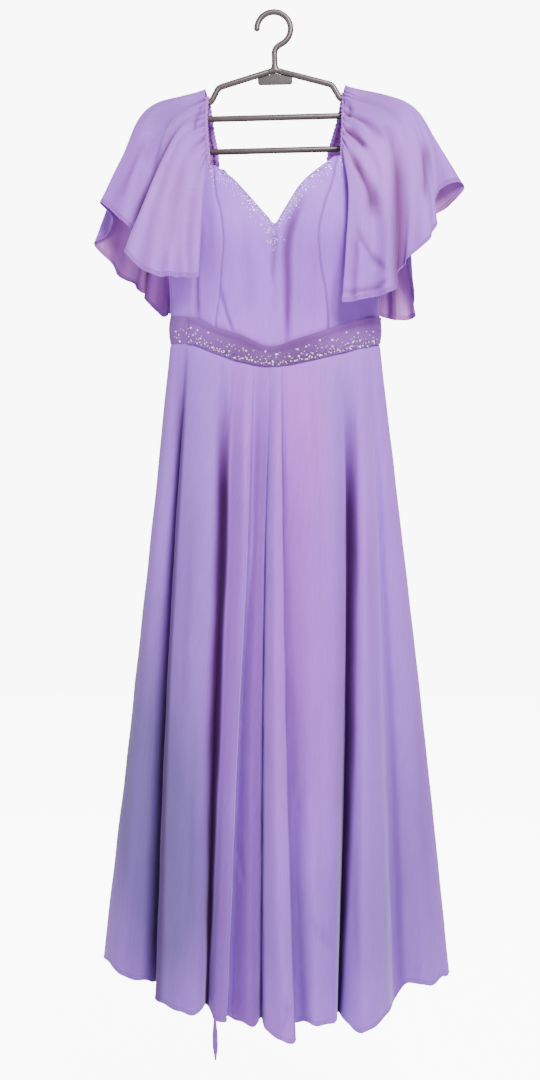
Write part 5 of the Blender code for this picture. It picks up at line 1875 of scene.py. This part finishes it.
def rod(name: str, start: tuple[float, float], heading: float, radius: float,
        runs: Sequence[Triple], sides: int = 28) -> Object:
    """A round rod in the hanger's plane, drawn out of a ring by extrusions and spins.

    Args:
        name: Name of the piece.
        start: X and Z of its first end.
        heading: Direction there in degrees, from +X towards +Z.
        radius: Radius of the rod.
        runs: For each run its straight length, its turn in degrees and the bend's radius.
        sides: Sides of the rod.

    Returns:
        The rod, capped at both ends.
    """
    x, z = start
    deselect_all()
    bpy.ops.mesh.primitive_circle_add(
        vertices=sides, radius=radius * MM, fill_type="NOTHING", location=(x * MM, 0, z * MM),
        rotation=(0, math.radians(90 - heading), 0),
    )
    obj = bpy.context.active_object
    obj.name = name
    obj.data.name = name
    bpy.ops.object.transform_apply(location=True, rotation=True, scale=True)
    bpy.ops.object.mode_set(mode="EDIT")
    bpy.ops.mesh.select_mode(type="VERT")
    bpy.ops.mesh.select_all(action="SELECT")
    for straight, turn, bend in runs:
        way = math.radians(heading)
        if straight > 0:
            move = (straight * math.cos(way), straight * math.sin(way))
            bpy.ops.mesh.extrude_region_move(
                TRANSFORM_OT_translate={"value": (move[0] * MM, 0, move[1] * MM)}
            )
            x, z = x + move[0], z + move[1]
        if turn:
            towards = way + math.copysign(math.pi / 2, turn)
            centre = (x + bend * math.cos(towards), z + bend * math.sin(towards))
            bpy.ops.mesh.spin(
                steps=max(4, round(abs(turn) / 7)), angle=math.radians(turn),
                center=(centre[0] * MM, 0, centre[1] * MM), axis=(0, 1, 0),
            )
            heading += turn
            after = math.radians(heading) - math.copysign(math.pi / 2, turn)
            x, z = centre[0] + bend * math.cos(after), centre[1] + bend * math.sin(after)
    bpy.ops.mesh.select_all(action="SELECT")
    bpy.ops.mesh.fill_holes(sides=0)
    bpy.ops.mesh.normals_make_consistent(inside=False)
    bpy.ops.object.mode_set(mode="OBJECT")
    return obj


def round_ends(obj: Object, width: float) -> None:
    """Round the rims of a rod's two end caps."""
    choose(obj)
    bpy.ops.object.mode_set(mode="EDIT")
    select_faces(obj, lambda face: len(face.verts) > 4)
    bpy.ops.mesh.bevel(offset=width * MM, segments=5, affect="EDGES")
    bpy.ops.object.mode_set(mode="OBJECT")


@dataclass
class Hanger:
    """Moulded clothes hanger with a hook, two notched arms, posts, two rails and a plate."""

    tube: float = HANGER_TUBE
    hook_tube: float = HOOK_TUBE
    arm_points: tuple[tuple[float, float], ...] = (
        (8.4, NECK_Z - 2.4), (85, -107), (97.3, -129.3), (107.8, -130.3), (113, -120),
        (190, -145.2),
    )
    fillet: float = 5.0
    tip_drop: float = 3.0
    s_bend: float = 14.0
    end_turn: float = 60.0
    post_top: float = -129.0
    plate_half: float = 26.0
    plate_bottom: float = -105.0
    plate_thickness: float = 3.0

    def place(self, obj: Object, finish: PlasticFinish, node: str) -> Object:
        """Tilt, shade and dress a piece of the hanger."""
        settle(obj, HANGER_TILT)
        choose(obj)
        bpy.ops.object.shade_smooth_by_angle(angle=PLASTIC_SMOOTH)
        return finish_piece(obj, finish.material(), [node])

    def hook(self) -> Object:
        """Hook with a round tip, its stem, a flared foot and the short arch at the neck."""
        centre_z = -(HOOK_RADIUS - self.hook_tube)
        slant = math.radians(self.end_turn)
        last = math.radians(-self.end_turn)
        reach = HOOK_RADIUS * math.cos(last) - self.s_bend * (1 - math.cos(slant))
        straight = reach / math.sin(slant)
        stem_top = (centre_z + HOOK_RADIUS * math.sin(last) - straight * math.cos(slant)
                    - self.s_bend * math.sin(slant))
        flare_top = NECK_Z + 13.0
        tip = (-HOOK_RADIUS, centre_z - self.tip_drop)
        obj = rod("hanger_hook_plastic", tip, 90.0, self.hook_tube,
                  ((self.tip_drop, -180.0 - self.end_turn, HOOK_RADIUS),
                   (straight, self.end_turn, self.s_bend), (stem_top - flare_top, 0.0, 0.0)))
        round_ends(obj, self.hook_tube * 0.85)
        return obj

    def flare(self) -> Object:
        """Foot of the stem, widening in a soft curve onto the arch."""
        deselect_all()
        bpy.ops.mesh.primitive_cylinder_add(
            vertices=28, radius=(self.hook_tube - 0.05) * MM, depth=6 * MM,
            location=(0, 0, (NECK_Z + 15.0) * MM),
        )
        obj = bpy.context.active_object
        bpy.ops.object.transform_apply(location=True, rotation=True, scale=True)
        bpy.ops.object.mode_set(mode="EDIT")
        select_faces(obj, lambda face: face.normal.z < -0.9)
        steps = ((2.5, 1.03), (2.5, 1.07), (2.5, 1.13), (2.0, 1.2), (2.0, 1.28), (1.5, 1.2))
        for drop, widen in steps:
            bpy.ops.mesh.extrude_region_move(TRANSFORM_OT_translate={"value": (0, 0, -drop * MM)})
            bpy.ops.transform.resize(value=(widen, 1.0 + (widen - 1.0) * 0.12, 1.0))
        bpy.ops.object.mode_set(mode="OBJECT")
        return obj

    def join(self, obj: Object, others: Sequence[Object]) -> None:
        """Unite solids into one piece."""
        for other in others:
            choose(obj)
            union = obj.modifiers.new("union", "BOOLEAN")
            union.operation = "UNION"
            union.solver = "EXACT"
            union.object = other
            bpy.ops.object.modifier_apply(modifier="union")
            bpy.data.objects.remove(other)

    def arm(self, side: str, sign: int) -> Object:
        """One arm with the strap's notch and the shoulder beyond it."""
        points = [Vector((sign * px, pz)) for px, pz in self.arm_points]
        runs = []
        spare = 0.0
        for before, corner, after in zip(points, points[1:], points[2:]):
            into, out = corner - before, after - corner
            turn = math.degrees(into.angle_signed(out)) * -1
            bend = self.fillet / math.tan(math.radians(abs(turn)) / 2)
            runs.append((into.length - self.fillet - spare, turn, bend))
            spare = self.fillet
        runs.append(((points[-1] - points[-2]).length - spare, 0.0, 0.0))
        first = points[1] - points[0]
        heading = math.degrees(math.atan2(first.y, first.x))
        obj = rod(f"hanger_arm_{side}_plastic", tuple(points[0]), heading, self.tube, runs)
        round_ends(obj, self.tube * 0.6)
        return obj

    def bar(
        self, name: str, centre: tuple[float, float], length: float, upright: bool
    ) -> Object:
        """A straight rod with rounded rims."""
        deselect_all()
        bpy.ops.mesh.primitive_cylinder_add(
            vertices=28, radius=self.tube * MM, depth=length * MM,
            location=(centre[0] * MM, 0, centre[1] * MM),
            rotation=(0, 0 if upright else math.pi / 2, 0),
        )
        obj = bpy.context.active_object
        obj.name = name
        obj.data.name = name
        round_ends(obj, 0.8)
        return obj

    def plate(self) -> Object:
        """Small flat plate under the neck, its top cut to the slope of the arms."""
        slope = (self.arm_points[1][1] - NECK_Z) / self.arm_points[1][0]
        top = NECK_Z - self.tube * math.hypot(1, slope) - 0.3
        height = top - self.plate_bottom
        deselect_all()
        bpy.ops.mesh.primitive_cube_add(
            size=MM, location=(0, 0, (top + self.plate_bottom) / 2 * MM),
            scale=(self.plate_half * 2, self.plate_thickness, height),
        )
        obj = bpy.context.active_object
        obj.name = "hanger_plate_plastic"
        obj.data.name = obj.name
        bpy.ops.object.transform_apply(location=True, rotation=True, scale=True)
        bpy.ops.object.mode_set(mode="EDIT")
        bpy.ops.mesh.select_all(action="SELECT")
        bpy.ops.mesh.bisect(plane_co=(0, 0, 0), plane_no=(1, 0, 0))
        low, high = (self.plate_bottom + 1) * MM, (top - 1) * MM
        select_edges(obj, lambda edge: all(v.co.z > high and abs(v.co.x) > MM for v in edge.verts))
        bpy.ops.transform.translate(value=(0, 0, slope * self.plate_half * MM))
        select_edges(obj, lambda edge: all(v.co.z < low and abs(v.co.x) > MM for v in edge.verts)
                     and abs(edge.verts[0].co.y - edge.verts[1].co.y) > MM)
        bpy.ops.mesh.bevel(offset=4.0 * MM, segments=6, affect="EDGES")
        bpy.ops.mesh.select_all(action="SELECT")
        bpy.ops.mesh.bevel(offset=0.45 * MM, segments=2, affect="EDGES", clamp_overlap=True)
        bpy.ops.object.mode_set(mode="OBJECT")
        return obj

    def build(self) -> list[Object]:
        """All pieces of the hanger."""
        hook = self.hook()
        slope = (self.arm_points[1][1] - NECK_Z) / self.arm_points[1][0]
        angle = math.degrees(math.atan(slope))
        arch = rod("neck_arch", (-8.9, NECK_Z + slope * 8.9), -angle, self.tube - 0.05,
                   ((7.4, 2 * angle, 8.0), (7.4, 0.0, 0.0)))
        self.join(hook, [self.flare(), arch])
        made = [self.place(hook, ROD_FINISH, "hanger_hook")]
        for side, sign in (("left", -1), ("right", 1)):
            made.append(self.place(self.arm(side, sign), ROD_FINISH, f"hanger_arm_{side}"))
            top, bottom = self.post_top, RAIL_LEVELS[-1] - self.tube
            post = self.bar(f"hanger_post_{side}_plastic", (sign * POST_X, (top + bottom) / 2),
                            top - bottom, upright=True)
            made.append(self.place(post, ROD_FINISH, f"hanger_post_{side}"))
        for label, level in zip(("upper", "lower"), RAIL_LEVELS):
            rail = self.bar(
                f"hanger_rail_{label}_plastic", (0, level), 2 * RAIL_HALF, upright=False
            )
            made.append(self.place(rail, ROD_FINISH, f"hanger_rail_{label}"))
        made.append(self.place(self.plate(), PLATE_FINISH, "hanger_plate"))
        return made


@dataclass
class Stones:
    """Cut stones and seed beads sewn along the neckline and the waistband."""

    seed: int = SEED
    large: float = 1.5
    small: float = 1.0
    bead: float = 1.2
    reach: float = 3.4

    def template(self, name: str, sides: int, crown: float) -> tuple[np.ndarray, list[list[int]]]:
        """Points and faces of one flat-backed stone of radius one, table up.

        Args:
            name: Name while it is modelled.
            sides: Facets round its girdle.
            crown: Height of the stone.

        Returns:
            Its points and its faces.
        """
        deselect_all()
        bpy.ops.mesh.primitive_cone_add(
            vertices=sides, radius1=1.0, radius2=0.66, depth=crown * 0.65,
            location=(0, 0, crown * 0.325),
        )
        obj = bpy.context.active_object
        obj.name = name
        bpy.ops.object.transform_apply(location=True, rotation=True, scale=True)
        bpy.ops.object.mode_set(mode="EDIT")
        select_faces(obj, lambda face: face.normal.z > 0.9)
        bpy.ops.mesh.extrude_region_move(TRANSFORM_OT_translate={"value": (0, 0, crown * 0.35)})
        bpy.ops.transform.resize(value=(0.6, 0.6, 1.0))
        bpy.ops.transform.rotate(
            value=math.pi / sides, orient_axis="Z", center_override=(0.0, 0.0, 0.0)
        )
        bpy.ops.object.mode_set(mode="OBJECT")
        points = np.array([v.co for v in obj.data.vertices])
        faces = [list(face.vertices) for face in obj.data.polygons]
        bpy.data.objects.remove(obj)
        return points, faces

    def scatter(
        self, name: str, cloth: Cloth, places: Sequence[Triple],
        cut: tuple[int, float], finish: StoneFinish,
    ) -> None:
        """Stones on the front of a cloth, joined into one piece.

        Args:
            name: Name of the piece.
            cloth: Cloth that carries them.
            places: X, Z and radius of each, seen from the front.
            cut: Facets round the girdle, and height over radius.
            finish: Their finish.
        """
        rng = np.random.default_rng(self.seed)
        points, faces = self.template(name + "_template", *cut)
        flat = cloth.grid[..., [0, 2]].reshape(-1, 2)
        spots = cloth.grid.reshape(-1, 3)
        normals = normals_of(cloth.grid).reshape(-1, 3)
        all_points, all_faces = [], []
        for x, z, radius in places:
            gaps = np.linalg.norm(flat - (x, z), axis=1)
            near = np.argsort(gaps)[:4]
            if gaps[near[0]] > self.reach:
                continue
            weight = 1 / (gaps[near] + 0.05)
            weight /= weight.sum()
            centre = weight @ spots[near]
            up = weight @ normals[near] + rng.normal(0, 0.11, 3)
            up /= np.linalg.norm(up)
            side = np.cross(up, (0.3, 0.1, 1.0))
            side /= np.linalg.norm(side)
            turn = rng.uniform(0, math.pi)
            first = side * math.cos(turn) + np.cross(up, side) * math.sin(turn)
            frame_of = np.stack([first, np.cross(up, first), up])
            base = centre + up * CLOTH_WALL * 0.45
            start = len(all_points) * len(points)
            all_points.append(points * radius @ frame_of + base)
            all_faces += [[k + start for k in face] for face in faces]
        obj = mesh_piece(name, np.concatenate(all_points), all_faces)
        obj.data.shade_flat()
        cloth.add_trim(finish_piece(obj, finish.material()))

    def neckline(self) -> tuple[list[Triple], list[Triple]]:
        """Places of crystals and of beads along the sweetheart neckline."""
        rng = np.random.default_rng(self.seed + 1)
        xs, zs = column(FRONT_TOP, "x"), column(FRONT_TOP, "z")
        crystals = [(x, z, self.large * rng.uniform(0.85, 1.05)) for x, z in NECKLINE_STONES]
        beads = []
        edge_x = np.linspace(-98, 106, 900)
        edge = np.stack([edge_x, 0 * edge_x, lookup(xs, zs, edge_x)], -1)
        run = lengths_along(edge)
        for at in np.arange(3, run[-1], 3.6):
            x = float(np.interp(at + rng.uniform(-1, 1), run, edge_x))
            z = float(lookup(xs, zs, x)) - rng.uniform(3.0, 6.0)
            beads.append((x, z, self.bead * rng.uniform(0.75, 1.0)))
        for pitch, shallow, spread in NECKLINE_LAYERS:
            for at in np.arange(4, run[-1], pitch):
                x = float(np.interp(at + rng.uniform(-2, 2), run, edge_x))
                z = float(lookup(xs, zs, x)) - shallow - spread * rng.random()
                crystals.append((x, z, self.small * rng.uniform(0.55, 1.0)))
        for x0, z0, spread, count in NECKLINE_CLUSTERS:
            for _ in range(count):
                crystals.append((x0 + rng.normal(0, spread * 0.8), z0 + rng.normal(0, spread * 0.7),
                                 self.small * rng.uniform(0.6, 1.2)))
        return crystals, beads

    def waistband(self) -> tuple[list[Triple], list[Triple]]:
        """Places of crystals and of beads along the waistband, thick at its lower edge."""
        rng = np.random.default_rng(self.seed + 2)
        xs, zs = column(BAND_BOTTOM, "x"), column(BAND_BOTTOM, "z")
        crystals = [(x, z, self.large * rng.uniform(0.85, 1.1)) for x, z in WAISTBAND_STONES]
        beads = []
        for x in np.arange(-124, 154, 2.6):
            for _ in range(3 if -100 < x < 90 else 2):
                at = x + rng.uniform(-1.6, 1.6)
                rise = 1.4 + 8.0 * rng.random() ** 1.8
                z = float(lookup(xs, zs, at)) + rise
                beads.append((at, z, self.bead * rng.uniform(0.8, 1.15)))
        for x in np.arange(-123, 154, 3.6):
            at = x + rng.uniform(-1.4, 1.4)
            rise = 2.0 + 3.6 * rng.random()
            z = float(lookup(xs, zs, at)) + rise
            crystals.append((at, z, self.large * rng.uniform(0.6, 0.95)))
        for x in np.arange(-148, 156, 3.2):
            at = x + rng.uniform(-2, 2)
            rise = 6 + 16 * rng.random() ** 1.5
            z = float(lookup(xs, zs, at)) + rise
            crystals.append((at, z, self.small * rng.uniform(0.6, 1.1)))
        return crystals, beads

    def sew(self, bodice: dict[str, Cloth], band: dict[str, Cloth]) -> None:
        """Sew the stones onto the bodice and the band."""
        crystals, beads = self.neckline()
        seams = {
            "bodice_side_left": lambda x: x < -87.5,
            "bodice_front": lambda x: -83 < x < 84,
            "bodice_side_right": lambda x: x > 91,
        }
        for name, inside in seams.items():
            stones = [place for place in crystals if inside(place[0])]
            self.scatter(f"{name}_crystals", bodice[name], stones, CRYSTAL_CUT, CRYSTAL_FINISH)
            small = [place for place in beads if inside(place[0])]
            self.scatter(f"{name}_beads", bodice[name], small, BEAD_CUT, BEAD_FINISH)
        crystals, beads = self.waistband()
        front = band["waistband_front"]
        self.scatter("waistband_crystals", front, crystals, CRYSTAL_CUT, CRYSTAL_FINISH)
        self.scatter("waistband_beads", front, beads, BEAD_CUT, BEAD_FINISH)


@dataclass
class Studio:
    """Pale floor, soft lights, white surround and the camera."""

    floor_z: float = -1.72
    floor_size: float = 14.0
    camera_place: Triple = (-0.0051, -2.3, -0.7876)
    view_height: float = 1.62
    sensor: float = 36.0
    surround_strength: float = 0.42
    white: float = 9.0

    def floor(self) -> None:
        """Wide pale floor under the gown."""
        deselect_all()
        bpy.ops.mesh.primitive_plane_add(size=self.floor_size, location=(0, 0, self.floor_z))
        floor = bpy.context.active_object
        floor.name = "studio_floor"
        paint, tree, shader = new_material("studio_floor_paint")
        path = tree.nodes.new("ShaderNodeLightPath")
        feed_all(tree, shader, {
            "Base Color": (0.85, 0.85, 0.86, 1),
            "Roughness": 0.9,
            "Specular IOR Level": 0.0,
            "Emission Color": WHITE,
            "Emission Strength": math_node(
                tree, "MULTIPLY", path.outputs["Is Camera Ray"], self.white
            ),
        })
        floor.data.materials.append(paint)

    def light(self, name: str, place: Triple, size: float, power: float,
              colour: Triple) -> None:
        """A square soft light that faces the middle of the gown."""
        data = bpy.data.lights.new(name, "AREA")
        data.shape = "SQUARE"
        data.size = size
        data.energy = power
        data.color = colour
        lamp = bpy.data.objects.new(name, data)
        lamp.location = place
        aim = Vector((0, 0, -0.8)) - Vector(place)
        lamp.rotation_euler = aim.to_track_quat("-Z", "Y").to_euler()
        bpy.context.scene.collection.objects.link(lamp)

    def surround(self) -> None:
        """White surround that lights the gown softly from all sides."""
        world = bpy.data.worlds.new("studio_white")
        bpy.context.scene.world = world
        world.use_nodes = True
        tree = world.node_tree
        lit, seen = tree.nodes["Background"], tree.nodes.new("ShaderNodeBackground")
        feed_all(tree, lit, {"Color": WHITE, "Strength": self.surround_strength})
        feed_all(tree, seen, {"Color": WHITE, "Strength": self.white})
        path = tree.nodes.new("ShaderNodeLightPath")
        mix = tree.nodes.new("ShaderNodeMixShader")
        tree.links.new(path.outputs["Is Camera Ray"], mix.inputs[0])
        tree.links.new(lit.outputs[0], mix.inputs[1])
        tree.links.new(seen.outputs[0], mix.inputs[2])
        tree.links.new(mix.outputs[0], tree.nodes["World Output"].inputs[0])

    def camera(self) -> None:
        """Camera level with the middle of the gown, as in the photograph."""
        data = bpy.data.cameras.new("photo_camera")
        data.sensor_width = self.sensor
        data.lens = self.sensor / 2 / (self.view_height / 2 / -self.camera_place[1])
        camera = bpy.data.objects.new("photo_camera", data)
        camera.location = self.camera_place
        camera.rotation_euler = (math.pi / 2, 0, 0)
        bpy.context.scene.collection.objects.link(camera)
        bpy.context.scene.camera = camera

    def build(self) -> None:
        """Set up the whole studio."""
        self.floor()
        self.light("key_light", (0.85, -2.2, 1.0), 1.1, 178, (1.0, 0.985, 0.97))
        self.light("fill_light", (-2.3, -1.9, -0.3), 1.6, 36, (0.96, 0.97, 1.0))
        self.light("back_light", (-0.8, 2.4, 0.6), 1.6, 70, (1.0, 1.0, 1.0))
        self.surround()
        self.camera()


def main() -> None:
    """Build the hanger, the gown on it and the studio, in order."""
    logging.basicConfig(level=logging.INFO, format="%(message)s")
    Hanger().build()
    body = GownBody()
    straps = {
        "left": RuchedStrap("strap_left", LEFT_STRAP, "hanger_arm_left_plastic"),
        "right": RuchedStrap("strap_right", RIGHT_STRAP, "hanger_arm_right_plastic"),
    }
    for strap in straps.values():
        strap.build()
    bodice = Bodice(body).build()
    band = Waistband(body).build()
    Stones().sew(bodice, band)
    for cloth in (*bodice.values(), *band.values()):
        cloth.build()
    Skirt(body).build()
    sleeves = (
        FlutterSleeve(
            "sleeve_left", LEFT_SLEEVE, straps["left"], -1, -115.5, (0.55, 0.34, 0.093)
        ),
        FlutterSleeve(
            "sleeve_right", RIGHT_SLEEVE, straps["right"], 1, -108.5, (0.60, 0.35, 0.0955)
        ),
    )
    for sleeve in sleeves:
        sleeve.build()
    WaistTie("tie_left", LEFT_TIE, "waistband_back_left_cloth", 1.16).build()
    WaistTie("tie_right", RIGHT_TIE, "waistband_back_right_cloth", 0.91).build()
    Studio().build()
    bpy.context.view_layer.update()


if __name__ == "__main__":
    main()
